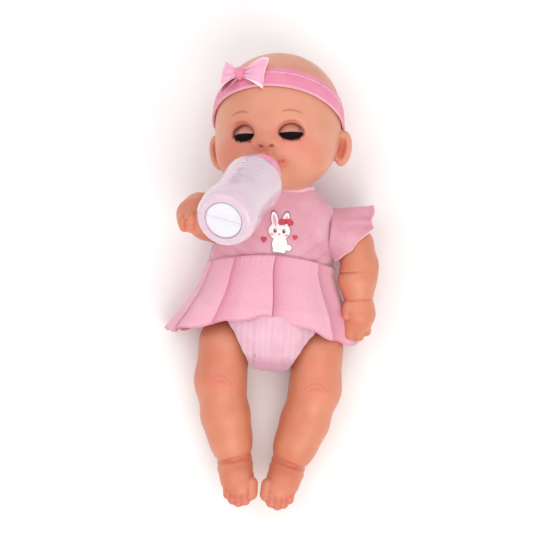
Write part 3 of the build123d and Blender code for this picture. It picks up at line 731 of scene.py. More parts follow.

# %% [markdown]
# The ball is hard white styrene with a printed iris, and the lid is the same vinyl colour as the face, with a painted
# highlight along its lower edge.

# %% Eye materials
EYEBALL, tree, bsdf = new_material("hard_styrene_eye", Roughness=0.08, Coat_Weight=0.6, Coat_Roughness=0.03)
ring_colour = ramp(tree, attribute(tree, "away"), [
    (0.00, colour("#0a0708")), (0.13, colour("#0a0708")), (0.15, colour("#4b2a17")), (0.27, colour("#7b4a25")),
    (0.31, colour("#2a150c")), (0.34, colour("#f2efe9")), (1.0, colour("#efe9e2"))])
speckle = mix(tree, maths(tree, "MULTIPLY", noise(tree, 1.2, 3), 0.25), ring_colour, colour("#d8cfc4"))
tree.links.new(speckle, bsdf.inputs["Base Color"])
finish_bump(tree, bsdf, noise(tree, 4, 2), 0.01)

LID, tree, bsdf = new_material("painted_eyelid", Roughness=0.34, Subsurface_Weight=0.08, Subsurface_Scale=0.003,
                               Coat_Weight=0.2, Coat_Roughness=0.2)
tone = ramp(tree, noise(tree, 6, 3), [(0.35, colour("#cf8c74")), (0.7, colour("#dd9a80"))])
tone = mix(tree, attribute(tree, "blush"), tone, colour("#a9604e"))
# painted highlight along the lid's lower edge
tone = mix(tree, attribute(tree, "edge"), tone, colour("#c98f86"))
tree.links.new(tone, bsdf.inputs["Base Color"])
finish_bump(tree, bsdf, noise(tree, 0.5, 2), 0.03)
for side in ("left", "right"):
    bpy.data.objects[side + "_eyeball_skin"].data.materials.append(EYEBALL)
    bpy.data.objects[side + "_eyelid_skin"].data.materials.append(LID)

# %% [markdown]
# ## Arms
# Both arms come off one pair of moulds: the left hangs, and the right is turned a quarter turn up at the shoulder
# to hold the bottle. The rod chain follows the CAD arm; dimples and creases are cut into it, and the nails are outlined
# in a darker tone.

# %% Arm field
UPPER = [((50, 42.5, 34), 14.6), ((57, 33, 36), 14.3), ((62.5, 17.5, 40), 13.8), ((61.5, 6, 41), 14.4),
         ((63.6, -8, 40), 10.2), ((64.6, -19, 38), 12.4), ((63.6, -26, 35), 11)]
FINGERS = [
    [((56, -14, 46), 4.6), ((55, -21, 49), 4.0)],
    [((60, -27, 41), 5.0), ((59.5, -35, 36), 4.6), ((60.5, -36, 31), 4.0)],
    [((66, -28, 40), 5.0), ((66, -36, 35), 4.6), ((66, -36, 29), 4.0)],
    [((71, -26, 37), 4.6), ((71.5, -32, 32), 4.2), ((70.5, -31, 28), 3.8)]]


def chain(p, beads, soft):
    f = None
    for (a, ra), (b, rb) in zip(beads, beads[1:]):
        piece = rod(p, a, b, ra - 0.4, rb - 0.4)
        f = piece if f is None else join(f, piece, soft)
    return f


def arm_field(p):
    f = chain(p, UPPER, 5)
    for i, digit in enumerate(FINGERS):
        f = join(f, chain(p, digit, 2.0), 2.6 if i == 0 else 1.3)
    f = carve(f, ring(p, (62.2, 11.6, 40.4), (-0.10, 1, -0.06), 14.8, 0.12) + 0.11 * np.maximum(p[:, 0] - 56, 0), 2.2)
    f = carve(f, ring(p, (63.8, -8.4, 40), (-0.14, 1, 0.05), 11.0, 0.15) + 0.06 * np.maximum(64 - p[:, 0], 0), 2.0)
    for x, z in ((63.0, 41.5), (68.6, 39.5)):
        f = carve(f, rod(p, (x, -27, z + 5.4), (x + 0.3, -38, z - 6), 0.3, 0.5), 1.6)
    return f


def arm_blush(p):
    amount = 0.35 * near(p, (62, 13, 40), 18) + 0.55 * near(p, (65, -22, 46), (12, 12, 9))
    for digit in FINGERS:
        amount += 0.65 * near(p, digit[-1][0], 6.5)
    return amount + 0.4 * near(p, (64, -9, 46), (12, 7, 10))


def nails(p):
    amount = np.zeros(len(p))
    for (x, y, z) in ((54.8, -23.0, 51.0), (59.6, -38.0, 38.4), (66.0, -39.0, 37.4), (71.6, -34.6, 34.2)):
        q = np.hypot((p[:, 0] - x) / 2.2, (p[:, 2] - z) / 2.0)
        amount += np.where(np.abs(p[:, 1] - y) < 3, np.clip(1.2 - np.abs(q - 1) / 0.16, 0, 1) * 0.15, 0)
    return amount


HAND_UP = (Matrix.Translation(SHOULDER) @ Matrix.Rotation(math.radians(-90), 4, "X")
           @ Matrix.Translation([-s for s in SHOULDER]))
for side, place in (("left", BODY), ("right", BODY @ MIRROR @ HAND_UP)):
    arm = sculpt(side + "_arm_skin", arm_field, (32, -44, 16), (80, 62, 58), 0.75, place,
                 {"blush": arm_blush, "dark": nails})
    arm.data.materials.append(LIMB_SKIN)
    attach(arm, side + "_arm")
    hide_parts(side + "_arm")

# %% [markdown]
# ## Legs
# Chubby legs with a rolled knee, a double ankle crease and short round toes. The knee is a raised cushion with
# two curved creases on its upper side; the sole is flat enough to stand the foot on.

# %% Leg field
LEG = [((35.5, -50, 26.6), 20.8), ((36.8, -80, 25.4), 19.2), ((30.6, -107, 23.6), 18.2), ((25.4, -124, 22), 16),
       ((20.6, -141, 20.4), 13.4)]
FOOT = [((20, -146, 22), 13.6), ((17.5, -154, 28), 12.4), ((14.6, -160, 32), 11)]
TOES = [((6.1, -163.5, 37), 5.6), ((10.2, -168.6, 37), 4.9), ((15, -170.6, 36.6), 4.6), ((19.6, -169.4, 35.4), 4.3),
        ((23.6, -166, 34), 4.1)]


def leg_field(p):
    f = chain(p, LEG, 7)
    f = join(f, chain(p, FOOT, 5), 5)
    for centre, radius in TOES:
        base = np.array(centre) + (0.6, 7.5, -2.5)
        f = join(f, rod(p, base, centre, radius - 0.2, radius - 0.4), 1.1)
    f = join(f, egg(p, (37.0, -80.5, 35.5), (13.5, 9.5, 8.6)), 5)
    x, y, z = p.T
    for radius, deep in ((7.5, 0.45), (11.0, 0.30)):
        line = np.exp(-((np.hypot(x - 36.8, y + 86) - radius) / 0.9) ** 2)
        f = f + deep * line * np.clip((y + 82) / 3, 0, 1) * (z > 35)
    f = carve(f, ring(p, (21.4, -137.6, 20.8), (0.3, 1, 0.12), 14.6, 0.9), 2.8)
    f = carve(f, ring(p, (20.4, -142.4, 21.0), (0.25, 1, -0.25), 14.4, 0.6), 2.4)
    for (a, _), (b, _) in zip(TOES, TOES[1:]):
        mid = (np.array(a) + b) / 2
        f = carve(f, rod(p, mid + (0, -3, 5), mid + (0.3, 6.5, 4.2), 0.35, 0.15), 1.3)
    return f


def leg_blush(p):
    amount = 0.6 * near(p, (37, -80, 44), (15, 12, 14)) + 0.3 * near(p, (36, -62, 40), (20, 14, 16))
    for centre, _ in TOES:
        amount += 0.55 * near(p, centre, 8)
    amount += 0.45 * near(p, (21, -140, 30), (16, 9, 12)) + 0.35 * near(p, (18, -156, 34), 16)
    return amount


def toenails(p):
    amount = np.zeros(len(p))
    for (x, y, z), radius in TOES:
        q = np.hypot((p[:, 0] - x) / (0.5 * radius), (p[:, 1] - y + 0.45 * radius) / (0.42 * radius))
        amount += np.where(p[:, 2] > z + 1, np.clip(1.15 - np.abs(q - 1) / 0.2, 0, 1) * 0.3, 0)
    return amount


for side, place in (("left", BODY), ("right", BODY @ MIRROR)):
    leg = sculpt(side + "_leg_skin", leg_field, (-2, -178, -2), (60, -24, 52), 0.85, place,
                 {"blush": leg_blush, "dark": toenails})
    leg.data.materials.append(LIMB_SKIN)
    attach(leg, side + "_leg")
    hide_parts(side + "_leg")

# %% [markdown]
# ## Clothes
# The romper is sewn from light pink cotton jersey with a satin neck binding, a tulle skirt and one flutter sleeve
# on each arm. Cloth is a sheet: each piece is a thin wall of even thickness. A close-fitting piece is a wall round
# the torso's own form, and a free-hanging one is a grid of points that is thickened and closed at its edges.


# %% The torso's form and its cloth
TORSO = np.array([(76, 19, 18, 43), (71, 19.5, 18, 43), (66, 27, 19, 42.5), (60, 36, 20, 40.5),
                  (53, 38.5, 23, 38), (47, 38.5, 26, 36), (32, 38.4, 30, 33), (12, 39, 32, 32),
                  (-12, 39.5, 32.5, 32), (-32, 37, 31, 31.5), (-48, 28.5, 27, 30.5),
                  (-59, 20, 21, 30), (-65, 16, 15, 29.5), (-72, 15, 13, 29.5)], float)[::-1]


def section(y, column):
    """A torso width, depth or height at y, with the corners of the table rounded."""
    return sum(np.interp(y + d, TORSO[:, 0], TORSO[:, column]) for d in (-6, -3, 0, 3, 6)) / 5


def slack(y):
    """The romper hangs loose on the doll's right side, round the waist."""
    return 5.6 * np.exp(-((y - 14) / 24) ** 2)


def torso_field(p):
    a, b, c = (section(p[:, 1], i) for i in (1, 2, 3))
    loose = slack(p[:, 1])
    a = a + loose
    q = np.stack(((p[:, 0] + loose) / a, (p[:, 2] - c) / b), 1)
    length = np.maximum(np.linalg.norm(q, axis=1), 1e-6)
    slope = np.hypot(q[:, 0] / a, q[:, 1] / b) / length
    trunk = (length - 1) / np.maximum(slope, 1e-6)
    return carve(trunk, p[:, 1] + 62.5, 8)


def weave_paint(obj, values):
    layer = obj.data.attributes.new("weave", "FLOAT_VECTOR", "POINT")
    layer.data.foreach_set("vector", np.asarray(values, np.float32).ravel())


def round_weave(verts, radius=40, middle=32):
    """Cloth wound round the body: arc length across and the height along, in metres."""
    arc = np.arctan2(verts[:, 0], verts[:, 2] - middle) * radius
    return np.stack((arc * MM, verts[:, 1] * MM, 0 * arc), 1)


def bodice_field(p):
    x, y, z = p.T
    pull = np.exp(-((y - 22) / 16) ** 2) * np.exp(-((np.abs(x) - 30) / 14) ** 2)
    folds = 0.55 * pull * np.sin(0.55 * y - 0.42 * np.abs(x)) + 0.35 * np.exp(-((y - 12) / 7) ** 2) * np.sin(0.62 * x)
    folds = folds + 0.30 * np.sin(0.16 * x + 0.21 * y + 0.8) * np.exp(-((y - 40) / 22) ** 2)
    d = np.abs(torso_field(p) - 2.6 - folds) - 0.62
    waist = 13.5 + 6.5 * np.clip(1 - (x / 42) ** 2, 0, 1) * (z > 30)
    d = np.maximum(d, (waist - 6.0) - y)
    d = np.maximum(d, y - 71.0)
    for side in (-1, 1):
        d = carve(d, ball(p, (50 * side, 41.5, 34), 17.0), 0.5)
    return np.maximum(d, 3.4 - z)


def panties_field(p):
    x, y, z = p.T
    fade = np.clip((-14 - y) / 20, 0, 1)
    gathers = fade * (0.30 * np.sin(0.45 * x + 0.03 * y + 0.6) + 0.16 * np.sin(1.3 * x + 0.06 * y + 1.0))
    full = 3.0 + 2.4 * fade * np.exp(-(x / 26) ** 2) + gathers
    d = np.abs(torso_field(p) - full) - 0.62
    d = np.maximum(d, y - 9)
    for side in (-1, 1):
        hip = rod(p, (25 * side, -27, 32), (38 * side, -74, 28), 17.0, 26.5)
        d = carve(d, hip, 0.8)
    return np.maximum(d, 3.4 - z)


knit_step = 0.62
bodice = sculpt("bodice_jersey", bodice_field, (-60, 4, 1), (48, 75, 70), knit_step, BODY)
panties = sculpt("panties_jersey", panties_field, (-60, -80, 1), (48, 12, 74), knit_step, BODY)
for piece, node in ((bodice, "bodice"), (panties, "romper_panties")):
    local = np.array([tuple(BODY.inverted() @ v.co) for v in piece.data.vertices])
    weave_paint(piece, round_weave(local))
    # painted shade where the panties fold under at the bottom
    paint(piece, "shade", 0.75 * np.clip((-56 - local[:, 1]) / 6, 0, 1))
    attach(piece, "torso")
    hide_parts(node)

# %% [markdown]
# A grid sheet keeps the cloth's own lengths on every point, so a weave follows each fold.


# %% Grid sheets
def grid_sheet(name, grid, thick, place=BODY, wrap=False, material=None):
    """A closed thin wall on a grid of points: rows along the cloth, columns across it."""
    rows, cols = grid.shape[:2]
    if wrap:
        du = (np.roll(grid, -1, 1) - np.roll(grid, 1, 1)) / 2
    else:
        du = np.gradient(grid, axis=1)
    dv = np.gradient(grid, axis=0)
    normal = np.cross(du, dv)
    normal /= np.maximum(np.linalg.norm(normal, axis=2, keepdims=True), 1e-9)
    verts = np.concatenate([(grid + normal * thick / 2).reshape(-1, 3), (grid - normal * thick / 2).reshape(-1, 3)])
    n = rows * cols
    faces = []
    for i in range(rows - 1):
        for j in range(cols if wrap else cols - 1):
            a, b = i * cols + j, i * cols + (j + 1) % cols
            faces += [(a, b, b + cols, a + cols), (a + n, a + cols + n, b + cols + n, b + n)]
    for j in range(cols if wrap else cols - 1):
        a, b = j, (j + 1) % cols
        faces.append((b, a, a + n, b + n))
        a, b = a + (rows - 1) * cols, b + (rows - 1) * cols
        faces.append((a, b, b + n, a + n))
    if not wrap:
        for i in range(rows - 1):
            a, b = i * cols, (i + 1) * cols
            faces.append((a, b, b + n, a + n))
            a, b = a + cols - 1, b + cols - 1
            faces.append((b, a, a + n, b + n))
    obj = add_object(name, verts, faces, place)
    across = np.linalg.norm(np.diff(grid, axis=1, prepend=grid[:, :1]), axis=2).mean(0).cumsum()
    along = np.linalg.norm(np.diff(grid, axis=0, prepend=grid[:1]), axis=2).mean(1).cumsum()
    flat = np.stack(np.broadcast_arrays(across[None, :], along[:, None], np.zeros((rows, cols))), -1).reshape(-1, 3)
    weave_paint(obj, np.concatenate([flat, flat]) * MM)
    paint(obj, "along", np.tile(np.repeat(np.linspace(0, 1, rows), cols), 2))
    if material:
        obj.data.materials.append(material)
    print(name, rows, "x", cols)
    return obj


# %% [markdown]
# ### Cloth materials
# Jersey shows columns of small V stitches, satin is a tight glossy weave, and tulle is a net of fine threads
# that is half open. The yarn is never dyed evenly, so each one has a slow change of tone and a fine fuzz. Painted shade
# darkens the folds, the bottom of the panties and the tulle just past each pleat edge.


# %% Jersey, satin and tulle
def weave_axes(tree):
    place = add(tree, "ShaderNodeAttribute", {"attribute_name": "weave"}).outputs["Vector"]
    parts = add(tree, "ShaderNodeSeparateXYZ", Vector=place)
    return place, parts.outputs["X"], parts.outputs["Y"]


def wave(tree, along, pitch_mm, shift=0.0):
    """A sine from 0 to 1 along a length, once each pitch."""
    turn = maths(tree, "ADD", maths(tree, "MULTIPLY", along, 2000 * math.pi / pitch_mm), shift)
    return maths(tree, "MULTIPLY", maths(tree, "ADD", maths(tree, "SINE", turn), 1.0), 0.5)


def jersey(name, base, light, dark, pitch=0.62, sheen=0.5):
    mat, tree, bsdf = new_material(name, Roughness=0.85, Sheen_Weight=sheen, Sheen_Roughness=0.4)
    place, x, y = weave_axes(tree)
    column = wave(tree, x, pitch)
    vee = maths(tree, "MULTIPLY", maths(tree, "ABSOLUTE", maths(tree, "SUBTRACT", column, 0.5)), 3.0)
    stitch = maths(tree, "MULTIPLY", wave(tree, y, pitch * 0.85, vee), column)
    tone = mix(tree, ramp(tree, noise(tree, 16, 3), [(0.35, 0.0), (0.7, 1.0)]), colour(base), colour(light))
    tone = mix(tree, ramp(tree, stitch, [(0.0, 0.45), (0.35, 0.0)]), tone, colour(dark))
    tone = mix(tree, maths(tree, "MULTIPLY", noise(tree, 1.1, 3, place), 0.35), tone, colour(light))
    # painted shade in the folds of the cloth
    tone = mix(tree, maths(tree, "MULTIPLY", attribute(tree, "hollow_shade"), 0.6), tone, colour(dark))
    # painted shade, darker where the cloth folds under
    tone = mix(tree, attribute(tree, "shade"), tone, colour(dark))
    tree.links.new(tone, bsdf.inputs["Base Color"])
    finish_bump(tree, bsdf, maths(tree, "ADD", stitch, noise(tree, 0.4, 2)), 0.12)
    return mat


def satin(name, base, light, dark):
    mat, tree, bsdf = new_material(name, Roughness=0.34, Anisotropic=0.5, Sheen_Weight=0.3, Coat_Weight=0.25,
                                   Coat_Roughness=0.3)
    place, x, y = weave_axes(tree)
    thread = maths(tree, "MULTIPLY", wave(tree, x, 0.28), wave(tree, y, 0.36))
    tone = mix(tree, noise(tree, 5, 3), colour(base), colour(light))
    tone = mix(tree, ramp(tree, thread, [(0.0, 0.3), (0.4, 0.0)]), tone, colour(dark))
    tree.links.new(tone, bsdf.inputs["Base Color"])
    tree.links.new(ramp(tree, noise(tree, 3, 3, place), [(0.3, 0.26), (0.7, 0.45)]), bsdf.inputs["Roughness"])
    finish_bump(tree, bsdf, thread, 0.04)
    return mat


def tulle(name, base, light, cover):
    mat, tree, bsdf = new_material(name, Roughness=0.6, Sheen_Weight=0.8, Sheen_Roughness=0.3)
    place, x, y = weave_axes(tree)
    diagonal = maths(tree, "ADD", x, maths(tree, "MULTIPLY", y, 0.58))
    other = maths(tree, "SUBTRACT", x, maths(tree, "MULTIPLY", y, 0.58))
    crossed = maths(tree, "MAXIMUM", wave(tree, diagonal, 0.8), wave(tree, other, 0.8))
    net = maths(tree, "MAXIMUM", crossed, wave(tree, y, 0.7))
    threads = ramp(tree, net, [(0.55, 0.0), (0.95, 1.0)])
    shimmer = maths(tree, "MULTIPLY", wave(tree, diagonal, 2.9), wave(tree, other, 3.1))
    moire = ramp(tree, shimmer, [(0.2, 0.0), (0.8, 0.12)])
    tone = mix(tree, noise(tree, 14, 3), colour(base), colour(light))
    tone = mix(tree, threads, tone, colour(light))
    # painted shadow just past each pleat edge
    tone = mix(tree, attribute(tree, "shade"), tone, colour("#e0789c"))
    tree.links.new(tone, bsdf.inputs["Base Color"])
    alpha = maths(tree, "ADD", maths(tree, "MULTIPLY", threads, 0.42), maths(tree, "ADD", cover, moire), True)
    tree.links.new(alpha, bsdf.inputs["Alpha"])
    finish_bump(tree, bsdf, threads, 0.10)
    return mat


JERSEY = jersey("pink_cotton_jersey", "#e59fb0", "#f2bccb", "#bd7086")
PANTY = jersey("pale_pink_jersey", "#e9b3c6", "#f3c9d8", "#c98ca3", 0.7)
BAND_KNIT = jersey("headband_rib_knit", "#ee87a8", "#f89ebb", "#cc5f80", 0.8, 0.35)
SATIN = satin("pink_satin", "#f3b4c9", "#fbd2df", "#d98aa3")
TULLE = tulle("pink_tulle", "#ff9dbb", "#ffc2d5", 0.55)
TULLE_BACK = tulle("pink_tulle_lining", "#fb8db0", "#ffa9c4", 0.85)
bodice.data.materials.append(JERSEY)
panties.data.materials.append(PANTY)

# %% [markdown]
# ### Skirt
# Two layers of tulle are gathered into the waist seam: a full lining and a shorter sheer top layer. Gathers make
# deep folds that open towards the hem, so each fold is a wave round the waist that grows on the way down.

# %% Skirt
SKIRT = np.array([(8, 41.6, 34.2, 32.6), (-4, 46.5, 37, 30.6), (-22, 57, 45.4, 23), (-43, 67.6, 42, 14)], float)[::-1]


def pleat_part(u):
    """How far along its pleat an angle is, from 0 under one edge to 1 on top of the next."""
    edges = np.radians((-100, -66, -33, 4, 47, 100))
    return np.interp(u, np.sort(np.concatenate([edges, edges + 1e-3])), np.tile((1.0, 0.0), 6))


def skirt_grid(start, stop, columns, rows, lift, seed, hem_drop=0.0):
    """Points from the waist seam to the hem, between two angles from straight up (degrees, left positive)."""
    chance = np.random.default_rng(seed)
    u = np.radians(np.linspace(start, stop, columns))
    v = np.linspace(0, 1, rows)[:, None]
    side = np.abs(np.sin(u))
    top = 13.2 + 6.5 * np.clip(np.cos(u), 0, 1) ** 1.5 - 3.0 * (u < 0) * side
    hem = -27 - 17 * np.clip(side * 1.15, 0, 1) ** 1.3 + hem_drop
    y = top + (hem - top) * v
    a, b, c = (np.interp(y, SKIRT[:, 0], SKIRT[:, i]) for i in (1, 2, 3))
    fold = np.zeros((rows, columns))
    for waves, size in ((5, 1.0), (9, 0.8), (17, 0.35)):
        start_at = chance.uniform(0, 6.3)
        drift = 0.5 * np.sin(3 * u + chance.uniform(0, 6))
        fold += size * (0.5 + 0.5 * np.sin(waves * u + start_at + drift)) ** 1.6
    pleat = pleat_part(u)
    small = 0.13 * np.sin(70 * u + chance.uniform(0, 6.3)) * np.exp(-(v / 0.16) ** 2)
    grow = (0.2 + 2.8 * np.sin(np.clip(v, 0, 1) * math.pi / 2) ** 1.1) * (0.3 + 0.7 * np.clip(np.cos(u) + 0.55, 0, 1))
    r = lift + small + fold * grow + 1.9 * pleat ** 1.4 * v ** 0.35
    loose = slack(y)
    x, z = (a + loose + r) * np.sin(u) - loose - (5.5 + 6.5 * np.clip(-np.sin(u), 0, 1)) * v, c + (b + r) * np.cos(u)
    z = np.where(z < 1.6, 1.0 + 0.6 * np.exp(np.minimum(z - 1.6, 0)), z)
    edge = 1.1 * np.sin(13 * u + 1.3) * v ** 3
    return np.stack((x, y + edge, z), -1)


def skirt_piece(name, start, stop, layer, lift, hem, material, seed):
    grid = skirt_grid(start, stop, 3 * int(abs(stop - start)), 40, lift, seed, hem)
    piece = grid_sheet(name, grid, 0.35 if layer else 0.5, BODY, False, material)
    # painted shadow on the cloth just past each pleat edge
    under = 0.75 * np.exp(-pleat_part(np.radians(np.linspace(start, stop, grid.shape[1]))) / 0.16)
    paint(piece, "shade", np.tile(np.broadcast_to(under, grid.shape[:2]).ravel(), 2))
    return piece


for side, hip in ((1, "left"), (-1, "right")):
    for layer, lift, hem, material in ((0, 0.2, 0.0, TULLE_BACK), (1, 1.9, 0.9, TULLE)):
        ends = (4.2 if side > 0 else 3.9, 96 * side)
        piece = skirt_piece(f"{hip}_skirt_front_{layer}", min(ends), max(ends), layer, lift, hem, material, 5)
        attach(piece, "torso")
        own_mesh(piece)
        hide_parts("skirt_front")
back = skirt_piece("skirt_back_layer", 95, 265, 0, 0.2, 0.0, TULLE_BACK, 5)
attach(back, "torso")
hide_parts("skirt_back")

# %% [markdown]
# ### Binding and sleeves
# The neck edge and the armholes are bound with folded satin. Each flutter sleeve is a curved ruffle of two layers:
# its inner edge is gathered into the armhole, so the outer edge is longer and stands away from the arm.

# %% Bindings and sleeves


def cord_mesh(name, path, radius, place, material, flatten=1.0):
    """A closed binding round a loop of points, as a soft fold of cloth."""
    path = np.asarray(path, float)
    count, sides = len(path), 14
    way = np.roll(path, -1, 0) - np.roll(path, 1, 0)
    way /= np.linalg.norm(way, axis=1, keepdims=True)
    middle = path.mean(0)
    out = path - middle
    out -= (out * way).sum(1, keepdims=True) * way
    out /= np.linalg.norm(out, axis=1, keepdims=True)
    up = np.cross(way, out)
    turn = np.linspace(0, 2 * math.pi, sides, endpoint=False)
    radius = np.broadcast_to(radius, (count,))
    grid = (path[:, None] + radius[:, None, None] * (np.cos(turn)[:, None] * out[:, None] * flatten
            + np.sin(turn)[:, None] * up[:, None]))
    faces = []
    for i in range(count):
        for j in range(sides):
            k, m = (i + 1) % count, (j + 1) % sides
            faces.append((i * sides + j, k * sides + j, k * sides + m, i * sides + m))
    obj = add_object(name, grid.reshape(-1, 3), faces, place)
    length = np.linalg.norm(np.diff(path, axis=0, prepend=path[:1]), axis=1).cumsum()
    u, v = np.meshgrid(length, turn * np.mean(radius), indexing="ij")
    weave_paint(obj, np.stack((u, v, 0 * u), -1).reshape(-1, 3) * MM)
    mesh = bmesh.new()
    mesh.from_mesh(obj.data)
    bmesh.ops.recalc_face_normals(mesh, faces=mesh.faces)
    mesh.to_mesh(obj.data)
    mesh.free()
    obj.data.materials.append(material)
    return obj


loop = np.linspace(0, 2 * math.pi, 160, endpoint=False)
pucker = 0.10 * np.sin(47 * loop) + 0.06 * np.sin(29 * loop)
neck_path = np.stack((-0.8 + 22.6 * np.sin(loop), 72.0 - 1.2 * np.cos(loop), 43 + 22.2 * np.cos(loop)), 1)
neck_path[:, 2] = np.maximum(neck_path[:, 2], 3.2)
binding = cord_mesh("neck_binding_satin", neck_path, 2.6 + pucker, BODY, SATIN, 0.7)
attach(binding, "torso")
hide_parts("neck_binding")

for side, name in ((1, "left"), (-1, "right")):
    path = []
    for a in loop:
        r = 16.2
        path.append((38.4 + 0.8 * math.cos(a), 41.0 + r * math.cos(a), 34 + r * math.sin(a)))
    edge = cord_mesh(name + "_armhole_binding", path, 1.0 + 0.6 * pucker, BODY if side > 0 else BODY @ MIRROR, SATIN)
    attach(edge, "torso")


def sleeve_grid(columns, rows, long, lift, seed):
    """The outer half of a bell round the arm, from below at the front, over the shoulder, to below at the back."""
    chance = np.random.default_rng(seed)
    a = np.radians(np.linspace(-62, 236, columns))
    v = np.linspace(0, 1, rows)[:, None]
    fold = sum(s * np.sin(n * a + chance.uniform(0, 6.3)) for n, s in ((7, 0.5), (12, 0.35), (19, 0.2)))
    reach = (long + 2.6) * np.clip((np.sin(a) + 1.0) / 1.2, 0.02, 1) ** 0.75
    x = 37.6 + reach * v * (0.97 + 0.03 * np.sin(9 * a))
    r = 16.8 + lift + 5.0 * v + (0.4 + 2.0 * v) * v * fold + 0.22 * np.sin(60 * a) * np.exp(-(v / 0.2) ** 2)
    y = 41.5 + r * np.sin(a) - 2.0 * v * np.clip(-np.sin(a), 0, 1)
    z = 34 + r * np.cos(a)
    return np.stack((x, y, np.maximum(z, 6.4)), -1)


for side, name in ((1, "left"), (-1, "right")):
    place = BODY if side > 0 else BODY @ MIRROR @ HAND_UP
    for layer, long, lift, material in ((0, 27.5, 0.0, TULLE_BACK), (1, 29.5, 1.1, JERSEY)):
        grid = sleeve_grid(220, 22, long if side > 0 else 0.35 * long, lift, 3)
        ruffle = grid_sheet(f"{name}_flutter_sleeve_{layer}", grid[:, ::-1], 0.5, place, False, material)
        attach(ruffle, name + "_arm")
        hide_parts(name + "_flutter_sleeve")
        hem_path = grid[-1]
        if layer:
            verts, faces = tube_mesh(hem_path, np.full(len(hem_path), 0.55), 8)
            hem = add_object(name + "_sleeve_hem", verts, faces, place)
            weave_paint(hem, verts * MM)
            hem.data.materials.append(SATIN)
            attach(hem, name + "_arm")

# %% [markdown]
# ### Headband and bow
# The headband is a tube of rib knit folded flat, with a rolled lower edge and a line of stitches. It follows the
# skull exactly, so its points are found by walking out from the middle of the head until the field says stop.


# %% Headband
def on_head(starts, ways, lift):
    """Points where rays from inside leave the head, lifted off it by a distance."""
    near_t, far_t = np.zeros(len(starts)), np.full(len(starts), 80.0)
    for _ in range(26):
        t = (near_t + far_t) / 2
        inside = head_field(starts + ways * t[:, None]) < lift
        near_t, far_t = np.where(inside, t, near_t), np.where(inside, far_t, t)
    return starts + ways * near_t[:, None]


BAND_LEAN = math.radians(30)
band_up = np.array((0, math.cos(BAND_LEAN), -math.sin(BAND_LEAN)))
band_out = np.array((0, math.sin(BAND_LEAN), math.cos(BAND_LEAN)))
BAND_MIDDLE = np.array((0, 60.5, 0))


def band_points(turn, across, lift):
    """A place on the band: turn from the forehead (left positive) and distance across it (crown positive)."""
    turn, across = np.broadcast_arrays(turn, across)
    way = np.sin(turn)[..., None] * (1.0, 0, 0) + np.cos(turn)[..., None] * band_out
    start = BAND_MIDDLE + across[..., None] * band_up
    found = on_head(start.reshape(-1, 3), way.reshape(-1, 3), 0.0).reshape(way.shape)
    return found + way * np.broadcast_to(lift, turn.shape)[..., None]


turns = np.linspace(-math.pi, math.pi, 260, endpoint=False)
rows = np.linspace(1, 0, 30)[:, None]
half = 9.0 - 1.6 * (1 - np.cos(turns)) / 2
across = -half + 2 * half * rows
crown = 0.9 + 0.9 * np.sin(math.pi * rows) ** 0.6 + 0.8 * np.exp(-((rows - 0.07) / 0.07) ** 2)
crown = crown + 0.18 * np.sin(21 * turns + 4 * rows) * np.sin(math.pi * rows) + 0.12 * np.sin(47 * turns)
band_grid = band_points(turns, across, crown)
band = grid_sheet("headband_knit", band_grid[::-1], 0.9, HEAD, True, BAND_KNIT)
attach(band, "head")
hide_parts("headband")

hem_turns = np.linspace(-math.pi, math.pi, 260, endpoint=False)
hem_at = band_points(hem_turns, -half + 0.7, np.full(260, 1.6))
EDGE_KNIT = jersey("headband_edge_knit", "#efa3b8", "#f8bccb", "#cf7c93", 0.7, 0.3)
rolled = cord_mesh("headband_rolled_edge", hem_at, 1.15, HEAD, EDGE_KNIT)
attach(rolled, "head")

# %% [markdown]
# Stitches are short pieces of white thread, each sunk at both ends. They are laid by the same scatter tree.

# %% Stitches
THREAD, tree, bsdf = new_material("white_thread", Roughness=0.7, Sheen_Weight=0.4)
tree.links.new(mix(tree, noise(tree, 0.7, 2), colour("#f8dfe6"), colour("#fffafb")), bsdf.inputs["Base Color"])
finish_bump(tree, bsdf, noise(tree, 0.15, 2), 0.03)
PINK_THREAD, tree, bsdf = new_material("pink_thread", Roughness=0.7, Sheen_Weight=0.4)
tree.links.new(mix(tree, noise(tree, 0.7, 2), colour("#dd8fa3"), colour("#eda9b9")), bsdf.inputs["Base Color"])
finish_bump(tree, bsdf, noise(tree, 0.15, 2), 0.03)


def stitch_piece(name, length, thick):
    t = np.linspace(-1, 1, 7)
    path = np.stack((t * length / 2, 0 * t, thick * (0.6 - 1.2 * t ** 2)), 1)
    return hidden_piece(name, *tube_mesh(path, np.full(7, thick), 6))


def stitch_line(name, path, place, body, piece, thread, every=2.6, seed=3):
    """Stitches along a path on a surface, with the path's own points spaced evenly."""
    path = np.asarray(path, float)
    length = np.linalg.norm(np.diff(path, axis=0), axis=1)
    total = np.concatenate([[0], length.cumsum()])
    stations = np.arange(every / 2, total[-1], every)
    spots = np.stack([np.interp(stations, total, path[:, i]) for i in range(3)], 1)
    ahead = np.stack([np.interp(stations + 0.3, total, path[:, i]) for i in range(3)], 1)
    m = np.array(place)
    ways = (ahead - spots) @ m[:3, :3].T
    outs = (spots - path.mean(0)) @ m[:3, :3].T
    world = spots @ m[:3, :3].T + m[:3, 3]
    ways[np.linalg.norm(ways, axis=1) < 1e-9] = (1, 0, 0)
    laid = scatter(name, piece, world, ways, outs, thread, 0.92, 1.08, 0.06, seed)
    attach(laid, body)
    return laid


LONG_STITCH = stitch_piece("long_stitch", 1.7, 0.24)
SHORT_STITCH = stitch_piece("short_stitch", 1.2, 0.17)
line = np.linspace(-math.pi, math.pi, 400)
top_line = band_points(line, np.full(400, 3.2), np.full(400, 2.15))
stitch_line("headband_stitches", top_line, HEAD, "head", LONG_STITCH, THREAD, 2.7, 3)


